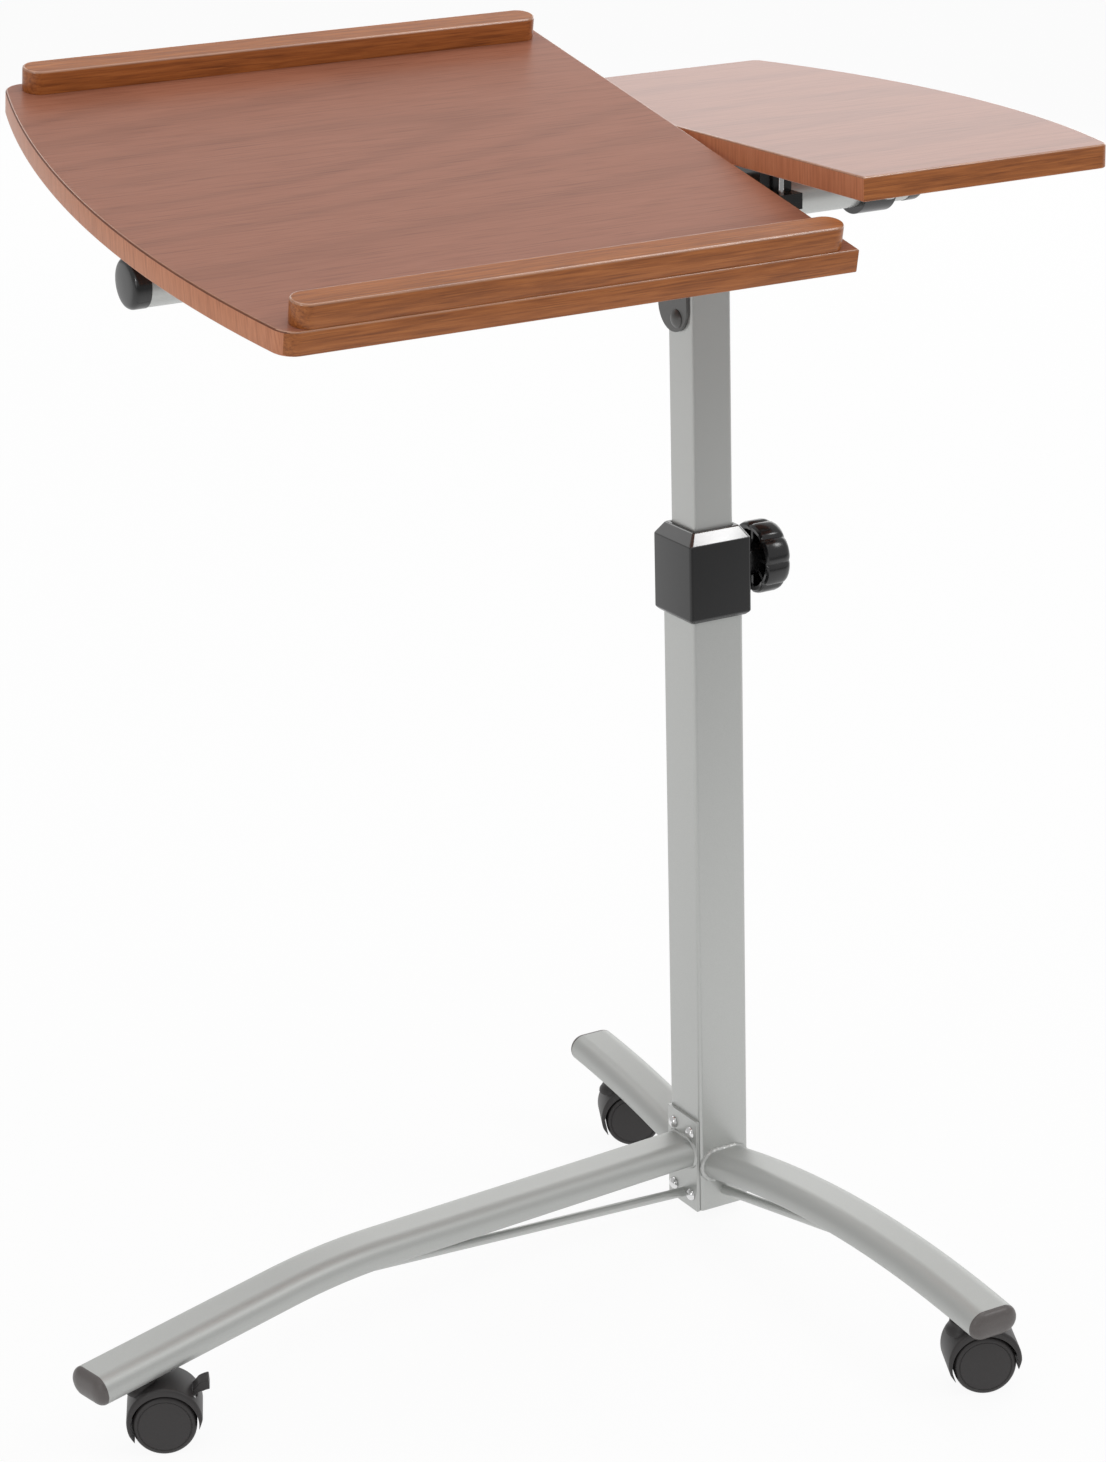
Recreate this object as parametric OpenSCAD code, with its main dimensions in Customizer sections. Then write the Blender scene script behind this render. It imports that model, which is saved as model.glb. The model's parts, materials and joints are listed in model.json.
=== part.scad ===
// Rolling laptop desk: a tilting laptop board and a level side board on a sliding square column,
// carried by an arched three-arm base on twin-wheel casters.
// The origin is on the floor under the column. +X runs to the side board, -Y faces the user, +Z is up.

/* [Boards] */
// Thickness of both boards
board_t = 15; // [12:1:20]
// Depth of both boards, front to back
board_d = 400; // [340:5:440]
// How far the front edges stand in front of the column axis
front_reach = 193; // [180:1:210]
// Width of the laptop board along its straight edges
laptop_w = 377; // [330:1:420]
// Width of the side board along its straight edges
side_w = 181; // [165:1:210]
// Gap between the two boards
board_gap = 7; // [6:1:12]
// How far the outer ends bulge in the middle
end_bulge = 30; // [15:1:40]
// Height of the side board's top above the floor
side_top_z = 755; // [745:1:775]
// Corner radius at the laptop board's outer end
laptop_corner_r = 14; // [6:1:20]
// Corner radius at the side board's outer end
side_corner_r = 7; // [4:1:14]
// Tilt of the laptop board as shown
tilt = 12; // [0:1:14]

/* [Ledges] */
// Height of the ledge strips
ledge_h = 15; // [10:1:22]
// Depth of the ledge strips, which is also twice the radius of their ends
ledge_d = 20; // [16:1:26]
// Length of the ledge strips
ledge_l = 362; // [300:1:370]
// Set-back of the front ledge from the front edge
front_ledge_inset = 1; // [1:0.5:6]
// Set-back of the back ledge from the back edge
back_ledge_inset = 3; // [1:0.5:12]

/* [Cross tube] */
// Outer diameter of the round tube under the boards
cross_d = 31; // [28:1:34]
// Wall of the round tube
cross_wall = 1.5; // [1:0.1:3]
// Left end of the round tube
cross_x0 = -392; // [-400:1:-340]
// Right end of the round tube
cross_x1 = 162; // [150:1:180]
// Clear height between the round tube and the underside of the boards
cross_standoff = 17.5; // [14:0.5:24]
// Length of the domed end caps
cross_cap_l = 6; // [4:1:12]

/* [Board clamps] */
// Width of the clamps along the tube
clamp_w = 24; // [16:1:26]
// Thickness of the clamp straps round the tube
strap_t = 4.5; // [3:0.5:5]
// Left clamp of the side board
side_clamp_x0 = 46; // [34:1:56]
// Right clamp of the side board
side_clamp_x1 = 129; // [110:1:140]
// Left clamp of the laptop board
tilt_clamp_x0 = -255; // [-300:1:-200]
// Right clamp of the laptop board
tilt_clamp_x1 = -62; // [-120:1:-50]
// Radius of the tilt lock knobs
tilt_knob_r = 17; // [14:1:20]

/* [Column] */
// Side of the outer square tube
outer_w = 39; // [38:1:41]
// Wall of the outer square tube
outer_wall = 1.5; // [1:0.1:2]
// Corner radius of the outer square tube
outer_corner_r = 3; // [2.5:0.5:5]
// Lower end of the outer tube above the floor
outer_z0 = 8; // [6:1:12]
// Upper end of the outer tube
outer_z1 = 488; // [470:1:500]
// Side of the inner square tube
inner_w = 30; // [28:1:31]
// Wall of the inner square tube
inner_wall = 1.5; // [1:0.1:2]
// Corner radius of the inner square tube
inner_corner_r = 2.5; // [2:0.5:4]
// Length of the inner square tube
inner_l = 480; // [400:5:500]

/* [Collar] */
// Height of the collar
collar_h = 61; // [50:1:75]
// Wall of the collar outside the tube
collar_wall = 4; // [3.5:0.5:6]
// Chamfer round the top of the collar
collar_chamfer = 8; // [5:0.5:8.5]
// Length of the guide bush inside the tube
bush_l = 70; // [40:1:90]

/* [Height knob] */
// Radius to the tips of the knob's lobes
knob_r = 24.5; // [22:0.5:30]
// Thickness of the knob
knob_t = 20; // [12:1:22]
// Number of lobes
knob_lobes = 8; // [6:1:10]
// Distance of the knob's axis below the top of the collar
knob_drop = 30; // [26:1:36]
// Radius of the knob's screw
stud_r = 4; // [3:0.5:5]

/* [Base] */
// Width of the oval arm tube
arm_w = 38; // [30:1:38]
// Height of the oval arm tube
arm_h = 22; // [18:1:26]
// Wall of the oval arm tube
arm_wall = 1.5; // [1:0.1:2.5]
// Radius of the crossbar's arch
arch_r = 922; // [700:1:1100]
// Distance of the arch's crown from the column
arch_y = 225; // [200:5:250]
// Height of the arch's crown at the tube's centre
arch_z = 65; // [62:0.5:68]
// Reach of the front arm
front_l = 332; // [300:1:360]
// Reach of the back arm
back_l = 160; // [140:1:260]
// Length of the side leg from its plate
leg_l = 493; // [460:1:540]
// Angle by which the side leg leans towards the user
leg_skew = 11.5; // [0:0.5:16]
// Height of the side leg's centre where it leaves its plate
leg_z0 = 50; // [42:1:52]
// Distance of the knee of the side leg from the plate
knee_s = 309; // [280:1:340]
// Height of the knee
knee_z = 73; // [68:0.5:76]
// Height of the side leg's centre at its end
leg_z1 = 56; // [55:0.5:62]
// Bend radius at the knee
knee_r = 470; // [200:10:700]
// Thickness of the plate between leg and column
plate_t = 2.5; // [2:0.5:5]
// Upper edge of the plate
plate_z1 = 76; // [72:1:85]
// Radius of the plate's bolt shanks
plate_bolt_r = 3; // [2.5:0.5:4]
// Radius of the tie rods
rod_r = 3.25; // [2.5:0.25:4]
// Length that the arm end caps show
arm_cap_l = 6; // [4:0.5:10]

/* [Casters] */
// Radius of the wheels
wheel_r = 20; // [17:0.5:20.5]
// Width of one wheel
wheel_w = 13; // [10:0.5:15]
// Distance between the two wheels of a caster
wheel_gap = 6; // [5:0.5:8]
// Distance from the stem to the axle
trail = 12; // [10:0.5:16]
// Thickness of the hood
hood_t = 3; // [2:0.5:4]
// Height of the top of the swivel boss
boss_z = 46.5; // [46:0.5:47]
// Radius of the stem
stem_r = 4; // [3.5:0.5:5]
// Distance of the front and back stems from the ends of their arms
stem_inset = 31; // [20:1:40]
// Distance of the leg's stem from the end of the leg
leg_stem_inset = 37; // [20:1:45]
// Direction in which the casters trail
caster_turn = -25; // [-90:1:90]

/* [Fits] */
// Radial clearance of parts that turn or slide on each other
run_c = 0.05; // [0.03:0.01:0.1]
// Gap between pieces of different bodies that only pass each other
pass_c = 0.5; // [0.4:0.1:1]

/* [Hidden] */
$fn = 64;

wood = [0.60, 0.34, 0.20];
silver = [0.72, 0.73, 0.72];
black = [0.10, 0.10, 0.11];
steel = [0.62, 0.63, 0.64];

// Heights and places that follow from the sizes above
cross_r = cross_d / 2;
cross_z = side_top_z - board_t - cross_standoff - cross_r;
side_x0 = -4;
side_x1 = side_x0 + side_w;
laptop_x1 = side_x0 - board_gap;
laptop_x0 = laptop_x1 - laptop_w;
laptop_mid = (laptop_x0 + laptop_x1) / 2;
front_y = -front_reach;
back_y = front_y + board_d;
outer_h = outer_w / 2;
inner_h = inner_w / 2;
collar_z1 = outer_z1 + collar_chamfer;
collar_z0 = collar_z1 - collar_h;
collar_half = outer_h + collar_wall;
collar_slant = collar_chamfer * 0.69;
knob_z = collar_z1 - knob_drop;
arm_half = arm_h / 2;
plate_x = -outer_h - plate_t;
leg_turn = 180 + leg_skew;
stem_gap = 0.3;

// Clamp sizes
clamp_lug = 13;
clamp_half_d = cross_r + strap_t + clamp_lug;
clamp_screw_y = cross_r + strap_t + 6;
clamp_screw_r = 2;
tilt_stud_r = 3;
tilt_knob_t = 12;
tilt_hub_r = 5.5;
tilt_hub_l = 15;
tilt_knob_gap = tilt_hub_l + 1;

// Head bracket sizes
ear_t = 2.5;
ear_front = 16;
ear_top_drop = 8;
left_ear_front = 12.5;
ear_tip_r = 17.5;
ear_tip_y = -left_ear_front + ear_tip_r;
ear_back = ear_tip_y + ear_tip_r;
ear_tip_drop = 64;
head_bolt_drop = 72;
right_ear_drop = 55;
bracket_web_t = 2.5;
bracket_gap = 1;
head_bolt_r = 3.5;
inner_top_z = cross_z - cross_r - bracket_gap - bracket_web_t;
head_bolt_z = cross_z - head_bolt_drop;
inner_z0 = inner_top_z - inner_l;

// A flat shape whose ends are half circles
module oval(w, h) {
    square([w - h, h], center = true);
    translate([-(w - h) / 2, 0]) circle(d = h);
    translate([(w - h) / 2, 0]) circle(d = h);
}

// A square with rounded corners, centred
module round_square(w, r) {
    square([w, w - 2 * r], center = true);
    square([w - 2 * r, w], center = true);
    for (x = [-1, 1], y = [-1, 1]) translate([x * (w / 2 - r), y * (w / 2 - r)]) circle(r = r);
}

// A square tube along Z
module square_tube(w, wall, r, l) {
    linear_extrude(l) difference() {
        round_square(w, r);
        round_square(w - 2 * wall, r - wall);
    }
}

// Outline of a board that bulges at one end. The bulge points to +X.
module board_outline(w, corner) {
    bulge_r = (board_d * board_d / 4 + end_bulge * end_bulge) / (2 * end_bulge);
    mid_y = (front_y + back_y) / 2;
    centre_x = w + end_bulge - bulge_r;
    corner_y = board_d / 2 - corner;
    corner_x = centre_x + sqrt(pow(bulge_r - corner, 2) - pow(corner_y, 2));
    translate([0, mid_y]) {
        intersection() {
            translate([0, -corner_y]) square([bulge_r, 2 * corner_y]);
            translate([centre_x, 0]) circle(r = bulge_r, $fn = 240);
        }
        translate([0, -board_d / 2]) square([corner_x, board_d]);
        for (s = [-1, 1]) translate([corner_x, s * corner_y]) circle(r = corner);
    }
}

// Turns what is drawn for a level laptop board to the tilt shown
module tilted() {
    translate([0, 0, cross_z]) rotate([tilt, 0, 0]) translate([0, 0, -cross_z]) children();
}

module laptop_board() {
    color(wood) tilted() difference() {
        translate([laptop_x1, 0, side_top_z]) mirror([1, 0, 0]) mirror([0, 0, 1])
            linear_extrude(board_t) board_outline(laptop_w, laptop_corner_r);
        ledge_screw_set(0.05);
        clamp_screw_set([tilt_clamp_x0, tilt_clamp_x1], 0);
    }
}

module side_board() {
    color(wood) difference() {
        translate([side_x0, 0, side_top_z]) mirror([0, 0, 1])
            linear_extrude(board_t) board_outline(side_w, side_corner_r);
        clamp_screw_set([side_clamp_x0, side_clamp_x1], 0);
    }
}

front_ledge_y = front_y + front_ledge_inset + ledge_d / 2;
back_ledge_y = back_y - back_ledge_inset - ledge_d / 2;

module ledge(y) {
    color(wood) tilted() difference() {
        translate([laptop_mid, y, side_top_z]) linear_extrude(ledge_h) oval(ledge_l, ledge_d);
        ledge_screw_set(0);
    }
}

module front_ledge() { ledge(front_ledge_y); }
module back_ledge() { ledge(back_ledge_y); }

// Countersunk screws through the laptop board into the ledges
ledge_screw_r = 2;
ledge_screw_head_r = 4;
ledge_screw_bite = 9;
ledge_screw_pitch = 150;
module ledge_screw_set(c) {
    for (x = [-1, 0, 1], y = [front_ledge_y, back_ledge_y])
        translate([laptop_mid + x * ledge_screw_pitch, y, side_top_z - board_t]) {
            cylinder(r = ledge_screw_r + c, h = board_t + ledge_screw_bite);
            cylinder(r1 = ledge_screw_head_r, r2 = ledge_screw_r, h = ledge_screw_head_r - ledge_screw_r);
        }
}

module ledge_screws() { color(steel) tilted() ledge_screw_set(0); }

// Profile of a clamp block across the tube, from the tube's middle to the board
module block_profile(c) {
    difference() {
        union() {
            translate([-clamp_half_d, 0]) square([2 * clamp_half_d, 6]);
            translate([-cross_r - strap_t, 0]) square([2 * (cross_r + strap_t), cross_r + cross_standoff]);
            translate([-clamp_half_d, cross_r + cross_standoff - 5]) square([2 * clamp_half_d, 5]);
        }
        circle(r = cross_r + c);
    }
}

// Profile of the strap below the tube
module strap_profile(c) {
    difference() {
        union() {
            intersection() {
                circle(r = cross_r + strap_t);
                translate([-clamp_half_d, -clamp_half_d]) square([2 * clamp_half_d, clamp_half_d]);
            }
            translate([-clamp_half_d, -strap_t]) square([2 * clamp_half_d, strap_t]);
        }
        circle(r = cross_r + c);
    }
}

// Lays a profile across the tube at each of the places along it
module across_tube(places, w) {
    for (x = places) translate([x - w / 2, 0, cross_z]) rotate([90, 0, 90]) linear_extrude(w) children();
}

// Screws that hold the clamp to the board from below, one at each side of the tube
clamp_screw_bite = 9;
clamp_head_r = 4;
clamp_head_h = 2.5;
module clamp_screw_set(places, c) {
    for (x = places, y = [-1, 1])
        translate([x, y * clamp_screw_y, cross_z - strap_t]) {
            cylinder(r = clamp_screw_r + c, h = side_top_z - board_t - cross_z + strap_t + clamp_screw_bite);
            translate([0, 0, -clamp_head_h]) cylinder(r = clamp_head_r, h = clamp_head_h);
        }
}

module side_clamp_blocks() {
    color(black) difference() {
        across_tube([side_clamp_x0, side_clamp_x1], clamp_w) block_profile(0);
        clamp_screw_set([side_clamp_x0, side_clamp_x1], 0);
    }
}

module side_clamp_straps() {
    color(black) difference() {
        across_tube([side_clamp_x0, side_clamp_x1], clamp_w) strap_profile(0);
        clamp_screw_set([side_clamp_x0, side_clamp_x1], 0);
    }
}

module side_clamp_screws() { color(steel) clamp_screw_set([side_clamp_x0, side_clamp_x1], 0); }

// The tilt clamps turn on the tube. Their front lug is pinched by a lock knob in place of a screw.
tilt_places = [tilt_clamp_x0, tilt_clamp_x1];
tilt_stud_y = -clamp_screw_y;
tilt_stud_top = 16;

module tilt_stud_holes(c) {
    for (x = tilt_places)
        translate([x, tilt_stud_y, cross_z - 2 * strap_t])
            cylinder(r = tilt_stud_r + c, h = tilt_stud_top + 3 * strap_t);
}

module tilt_clamp_blocks() {
    color(black) tilted() difference() {
        across_tube(tilt_places, clamp_w) block_profile(run_c);
        tilt_back_screws();
        tilt_front_screws();
        tilt_stud_holes(run_c);
    }
}

module tilt_clamp_straps() {
    color(black) tilted() difference() {
        across_tube(tilt_places, clamp_w) strap_profile(run_c);
        tilt_back_screws();
        tilt_stud_holes(run_c);
    }
}

module tilt_back_screws() {
    for (x = tilt_places)
        translate([x, clamp_screw_y, cross_z - strap_t]) {
            cylinder(r = clamp_screw_r, h = side_top_z - board_t - cross_z + strap_t + clamp_screw_bite);
            translate([0, 0, -clamp_head_h]) cylinder(r = clamp_head_r, h = clamp_head_h);
        }
}

// Short screws from the block's flange into the board, in front of the tube
module tilt_front_screws() {
    for (x = tilt_places)
        translate([x, -clamp_screw_y, side_top_z - board_t - 5]) {
            cylinder(r = clamp_screw_r, h = 5 + clamp_screw_bite);
            translate([0, 0, -clamp_head_h]) cylinder(r = clamp_head_r, h = clamp_head_h);
        }
}

module tilt_clamp_screws() {
    color(steel) tilted() {
        tilt_back_screws();
        tilt_front_screws();
    }
}

// A lobed knob round the Z axis, its open side at z = 0 and its crown at z = t
module star_knob(r, t, lobes, bore) {
    lobe_r = r * 0.34;
    dish = t * 0.18;
    difference() {
        intersection() {
            linear_extrude(t) union() {
                circle(r = r * 0.91);
                for (i = [0 : lobes - 1]) rotate(i * 360 / lobes)
                    translate([r - lobe_r, 0]) circle(r = lobe_r);
            }
            rotate_extrude() polygon([[0, 0], [r - dish, 0], [r, dish], [r, t - 2 * dish], [r - dish, t - dish],
                                      [r - 3 * dish, t], [0, t]]);
        }
        translate([0, 0, -1]) cylinder(r = bore, h = t * 0.75 + 1);
    }
}

module tilt_knob(x) {
    color(black) tilted() translate([x, tilt_stud_y, cross_z - strap_t - tilt_knob_gap]) mirror([0, 0, 1]) {
        star_knob(tilt_knob_r, tilt_knob_t, 6, tilt_stud_r);
        translate([0, 0, -tilt_hub_l]) difference() {
            cylinder(r = tilt_hub_r, h = tilt_hub_l);
            translate([0, 0, -1]) cylinder(r = tilt_stud_r, h = tilt_hub_l + 2);
        }
    }
}

module tilt_stud(x) {
    color(steel) tilted() translate([x, tilt_stud_y, cross_z - strap_t - tilt_knob_gap - tilt_knob_t * 0.75])
        cylinder(r = tilt_stud_r, h = tilt_knob_t * 0.75 + tilt_knob_gap + strap_t + tilt_stud_top);
}

module left_tilt_knob() { tilt_knob(tilt_clamp_x0); }
module left_tilt_stud() { tilt_stud(tilt_clamp_x0); }
module right_tilt_knob() { tilt_knob(tilt_clamp_x1); }
module right_tilt_stud() { tilt_stud(tilt_clamp_x1); }

module cross_tube() {
    color(silver) translate([cross_x0, 0, cross_z]) rotate([90, 0, 90])
        linear_extrude(cross_x1 - cross_x0) difference() {
            circle(r = cross_r);
            circle(r = cross_r - cross_wall);
        }
}

// A domed cap with a plug that sits in the tube. The dome points to +Z.
cap_plug_l = 14;
module tube_cap() {
    dome_r = (cross_r * cross_r + cross_cap_l * cross_cap_l) / (2 * cross_cap_l);
    intersection() {
        cylinder(r = cross_r, h = cross_cap_l);
        translate([0, 0, cross_cap_l - dome_r]) sphere(r = dome_r);
    }
    translate([0, 0, -cap_plug_l]) cylinder(r = cross_r - cross_wall, h = cap_plug_l);
}

module left_tube_cap() { color(black) translate([cross_x0, 0, cross_z]) rotate([0, -90, 0]) tube_cap(); }
module right_tube_cap() { color(black) translate([cross_x1, 0, cross_z]) rotate([0, 90, 0]) tube_cap(); }

// The left ear of the head bracket, seen along the tube, with the tube's centre at the origin
module ear_profile() {
    difference() {
        union() {
            translate([-left_ear_front, -ear_tip_drop]) square([2 * ear_tip_r, ear_tip_drop - ear_top_drop]);
            translate([ear_tip_y, -ear_tip_drop]) circle(r = ear_tip_r);
        }
        circle(r = cross_r);
    }
}

module head_bolt_hole(r) {
    translate([-inner_w, 0, head_bolt_z]) rotate([0, 90, 0]) cylinder(r = r, h = inner_w);
}

// The right ear is shorter and carries no bolt
module right_ear_profile() {
    difference() {
        translate([-ear_front, -right_ear_drop])
            square([ear_front + ear_back, right_ear_drop - ear_top_drop]);
        circle(r = cross_r);
    }
}

module head_bracket() {
    color(silver) difference() {
        union() {
            translate([-inner_h - ear_t, 0, cross_z]) rotate([90, 0, 90]) linear_extrude(ear_t) ear_profile();
            translate([inner_h, 0, cross_z]) rotate([90, 0, 90]) linear_extrude(ear_t) right_ear_profile();
            translate([-inner_h, -ear_front, inner_top_z])
                cube([inner_w, ear_front + ear_back, bracket_web_t]);
        }
        head_bolt_hole(head_bolt_r);
    }
}

head_dome_r = 6.5;
head_dome_h = 3.2;
head_nut_r = 7;
head_nut_l = 6;
module head_bolt() {
    dome_r = (head_dome_r * head_dome_r + head_dome_h * head_dome_h) / (2 * head_dome_h);
    color(steel) translate([-inner_h - ear_t, 0, head_bolt_z]) rotate([0, 90, 0]) {
        cylinder(r = head_bolt_r, h = ear_t + inner_wall + head_nut_l);
        intersection() {
            translate([0, 0, -head_dome_h]) cylinder(r = head_dome_r, h = head_dome_h);
            translate([0, 0, dome_r - head_dome_h]) sphere(r = dome_r);
        }
    }
}

// The nut sits inside the inner column, against its left wall
module head_nut() {
    color(steel) translate([-inner_h + inner_wall, 0, head_bolt_z]) rotate([0, 90, 0]) difference() {
        cylinder(r = head_nut_r, h = head_nut_l, $fn = 6);
        translate([0, 0, -1]) cylinder(r = head_bolt_r, h = head_nut_l + 2);
    }
}

module inner_column() {
    color(silver) difference() {
        translate([0, 0, inner_z0]) square_tube(inner_w, inner_wall, inner_corner_r, inner_l);
        head_bolt_hole(head_bolt_r);
    }
}

// Plastic shoe on the lower end of the inner column, running inside the outer tube
shoe_h = 24;
shoe_flange = 6;
module guide_shoe() {
    inside = outer_w - 2 * outer_wall - 2 * pass_c;
    color(black) difference() {
        union() {
            translate([0, 0, inner_z0 - shoe_flange]) linear_extrude(shoe_flange)
                round_square(inside, outer_corner_r);
            translate([0, 0, inner_z0]) linear_extrude(shoe_h - shoe_flange)
                round_square(inner_w - 2 * inner_wall, inner_corner_r - inner_wall);
        }
        translate([0, 0, inner_z0 - shoe_flange - 1]) cylinder(r = 8, h = shoe_h + 2);
    }
}

module outer_column() {
    color(silver) difference() {
        translate([0, 0, outer_z0]) square_tube(outer_w, outer_wall, outer_corner_r, outer_z1 - outer_z0);
        translate([0, 0, knob_z]) rotate([0, 90, 0]) cylinder(r = rivet_r, h = outer_w);
        plate_holes(plate_bolt_r);
    }
}

foot_plug_h = 5;
foot_pocket_r = 12;
foot_pocket_h = 2;
module foot_plug() {
    color(black) difference() {
        translate([0, 0, outer_z0]) linear_extrude(foot_plug_h)
            round_square(outer_w - 2 * outer_wall, outer_corner_r - outer_wall);
        translate([0, 0, outer_z0 - 1]) cylinder(r = foot_pocket_r, h = foot_pocket_h + 1);
    }
}

// Side view of the collar, with its chamfered top and the small chamfer at its foot
collar_foot = 2.5;
module collar_profile() {
    polygon([[-collar_half, collar_z0 + collar_foot], [-collar_half + collar_foot, collar_z0],
             [collar_half - collar_foot, collar_z0], [collar_half, collar_z0 + collar_foot],
             [collar_half, collar_z1 - collar_chamfer],
             [collar_half - collar_slant, collar_z1], [-collar_half + collar_slant, collar_z1],
             [-collar_half, collar_z1 - collar_chamfer]]);
}

module collar() {
    color(black) difference() {
        union() {
            intersection() {
                translate([0, collar_half, 0]) rotate([90, 0, 0])
                    linear_extrude(2 * collar_half) collar_profile();
                translate([-collar_half, 0, 0]) rotate([90, 0, 90])
                    linear_extrude(2 * collar_half) collar_profile();
                linear_extrude(collar_z1) round_square(2 * collar_half, outer_corner_r);
            }
            translate([0, 0, outer_z1 - bush_l]) linear_extrude(bush_l)
                round_square(outer_w - 2 * outer_wall, outer_corner_r - outer_wall);
        }
        translate([0, 0, outer_z1 - bush_l - 1]) difference() {
            linear_extrude(bush_l + 1) round_square(outer_w, outer_corner_r);
            linear_extrude(bush_l + 2) round_square(outer_w - 2 * outer_wall, outer_corner_r - outer_wall);
        }
        translate([0, 0, outer_z1 - bush_l - 1]) linear_extrude(bush_l + collar_chamfer + 2)
            round_square(inner_w + 2 * run_c, inner_corner_r + run_c);
        translate([0, 0, knob_z]) rotate([0, 90, 0]) cylinder(r = rivet_r, h = outer_h);
        translate([outer_h, 0, knob_z]) rotate([0, 90, 0]) cylinder(r = rivet_flange_r, h = rivet_flange_t);
        translate([0, 0, knob_z]) rotate([0, 90, 0]) cylinder(r = stud_r + pass_c, h = 2 * outer_w);
    }
}

rivet_r = 6;
rivet_flange_r = 8;
rivet_flange_t = 1;
rivet_x0 = inner_h + 1;
module rivet_nut() {
    color(steel) translate([rivet_x0, 0, knob_z]) rotate([0, 90, 0]) difference() {
        union() {
            cylinder(r = rivet_r, h = outer_h - rivet_x0);
            translate([0, 0, outer_h - rivet_x0]) cylinder(r = rivet_flange_r, h = rivet_flange_t);
        }
        translate([0, 0, -1]) cylinder(r = stud_r + run_c, h = outer_w);
    }
}

knob_hub_r = 12;
knob_hub_l = 12;
knob_stand = 1;
knob_x = collar_half + knob_stand + knob_hub_l;
module height_knob() {
    color(black) translate([knob_x, 0, knob_z]) rotate([0, 90, 0]) union() {
        star_knob(knob_r, knob_t, knob_lobes, stud_r);
        translate([0, 0, -knob_hub_l]) difference() {
            cylinder(r = knob_hub_r, h = knob_hub_l);
            translate([0, 0, -1]) cylinder(r = stud_r, h = knob_hub_l + 2);
        }
    }
}

stud_end_x = inner_h + 0.3;
module height_stud() {
    color(steel) translate([stud_end_x, 0, knob_z]) rotate([0, 90, 0])
        cylinder(r = stud_r, h = knob_x + knob_t * 0.75 - stud_end_x);
}

// The arch of the crossbar, seen from the side, and the height of its centre at a distance from the column
function arch_height(y) = arch_z - arch_r + sqrt(arch_r * arch_r - pow(y - arch_y, 2));

module arch_sweep(reach) {
    a0 = acos(-arch_y / arch_r);
    a1 = acos((reach - arch_y) / arch_r);
    translate([0, arch_y, arch_z - arch_r]) rotate([90, 0, 90]) rotate([0, 0, a1])
        rotate_extrude(angle = a0 - a1, $fn = 240) translate([arch_r, 0]) children();
}

module arm_tube(reach, stem_y) {
    difference() {
        arch_sweep(reach) rotate(90) oval_tube();
        translate([-outer_w, -outer_h, 0]) cube([2 * outer_w, outer_w, 2 * arch_z]);
        translate([0, stem_y, 0]) cylinder(r = stem_r, h = arch_z);
    }
}

// Section of the arm tubes
module oval_tube() {
    difference() {
        oval(arm_w, arm_h);
        oval(arm_w - 2 * arm_wall, arm_h - 2 * arm_wall);
    }
}

front_stem_y = front_l - stem_inset;
back_stem_y = back_l - stem_inset;

module front_arm() { color(silver) rotate(180) arm_tube(front_l, front_stem_y); }
module back_arm() { color(silver) arm_tube(back_l, back_stem_y); }

// The side leg, drawn along +X: a rising run, the bend over the knee and a falling run.
// Its root runs on behind the plate and is cut off flush with it.
leg_root = 12;
leg_a1 = atan((knee_z - leg_z0) / knee_s);
leg_a2 = -atan((knee_z - leg_z1) / (leg_l - knee_s));
knee_cut = knee_r * tan((leg_a1 - leg_a2) / 2);
knee_steps = 8;
bend_x = knee_s - knee_cut * cos(leg_a1) + knee_r * sin(leg_a1);
bend_z = knee_z - knee_cut * sin(leg_a1) - knee_r * cos(leg_a1);

// Stations along the leg: distance, height and slope of the centre line. The bore runs on past both ends.
function leg_stations(past) = concat(
    [[-leg_root - past, leg_z0 - (leg_root + past) * tan(leg_a1), leg_a1]],
    [for (i = [0 : knee_steps]) let (a = leg_a1 + (leg_a2 - leg_a1) * i / knee_steps)
        [bend_x - knee_r * sin(a), bend_z + knee_r * cos(a), a]],
    [[leg_l + past, leg_z1 + past * tan(leg_a2), leg_a2]]);
function leg_height(s) = s < knee_s ? knee_z - (knee_s - s) * tan(leg_a1) : knee_z + (s - knee_s) * tan(leg_a2);

// Points round an oval, starting at its lower right
oval_steps = 16;
function half_oval(w, h, side) = [for (i = [0 : oval_steps]) let (a = 180 * i / oval_steps - side * 90)
    [side * (w - h) / 2 + h / 2 * cos(a), h / 2 * sin(a)]];
function oval_points(w, h) = concat(half_oval(w, h, 1), half_oval(w, h, -1));

// The leg as a closed skin through the oval at every station
module leg_sweep(w, h, past = 0) {
    stations = leg_stations(past);
    ring = oval_points(w, h);
    n = len(ring);
    last = len(stations) - 1;
    polyhedron(
        points = [for (s = stations, p = ring) [s[0] - p[1] * sin(s[2]), -p[0], s[1] + p[1] * cos(s[2])]],
        faces = concat(
            [[for (j = [0 : n - 1]) n - 1 - j]],
            [for (i = [0 : last - 1], j = [0 : n - 1])
                [i * n + j, i * n + (j + 1) % n, (i + 1) * n + (j + 1) % n, (i + 1) * n + j]],
            [[for (j = [0 : n - 1]) last * n + j]]));
}

// Moves what is drawn along +X to the plate and turns it along the side leg
module at_plate() { translate([plate_x, 0, 0]) rotate(leg_turn) children(); }

leg_stem_s = leg_l - leg_stem_inset;
module side_leg() {
    color(silver) difference() {
        at_plate() difference() {
            leg_sweep(arm_w, arm_h);
            leg_sweep(arm_w - 2 * arm_wall, arm_h - 2 * arm_wall, past = 1);
            translate([leg_stem_s, 0, 0]) cylinder(r = stem_r, h = leg_height(leg_stem_s));
        }
        translate([plate_x, -outer_w, 0]) cube([outer_w, 2 * outer_w, 2 * knee_z]);
    }
}

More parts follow.
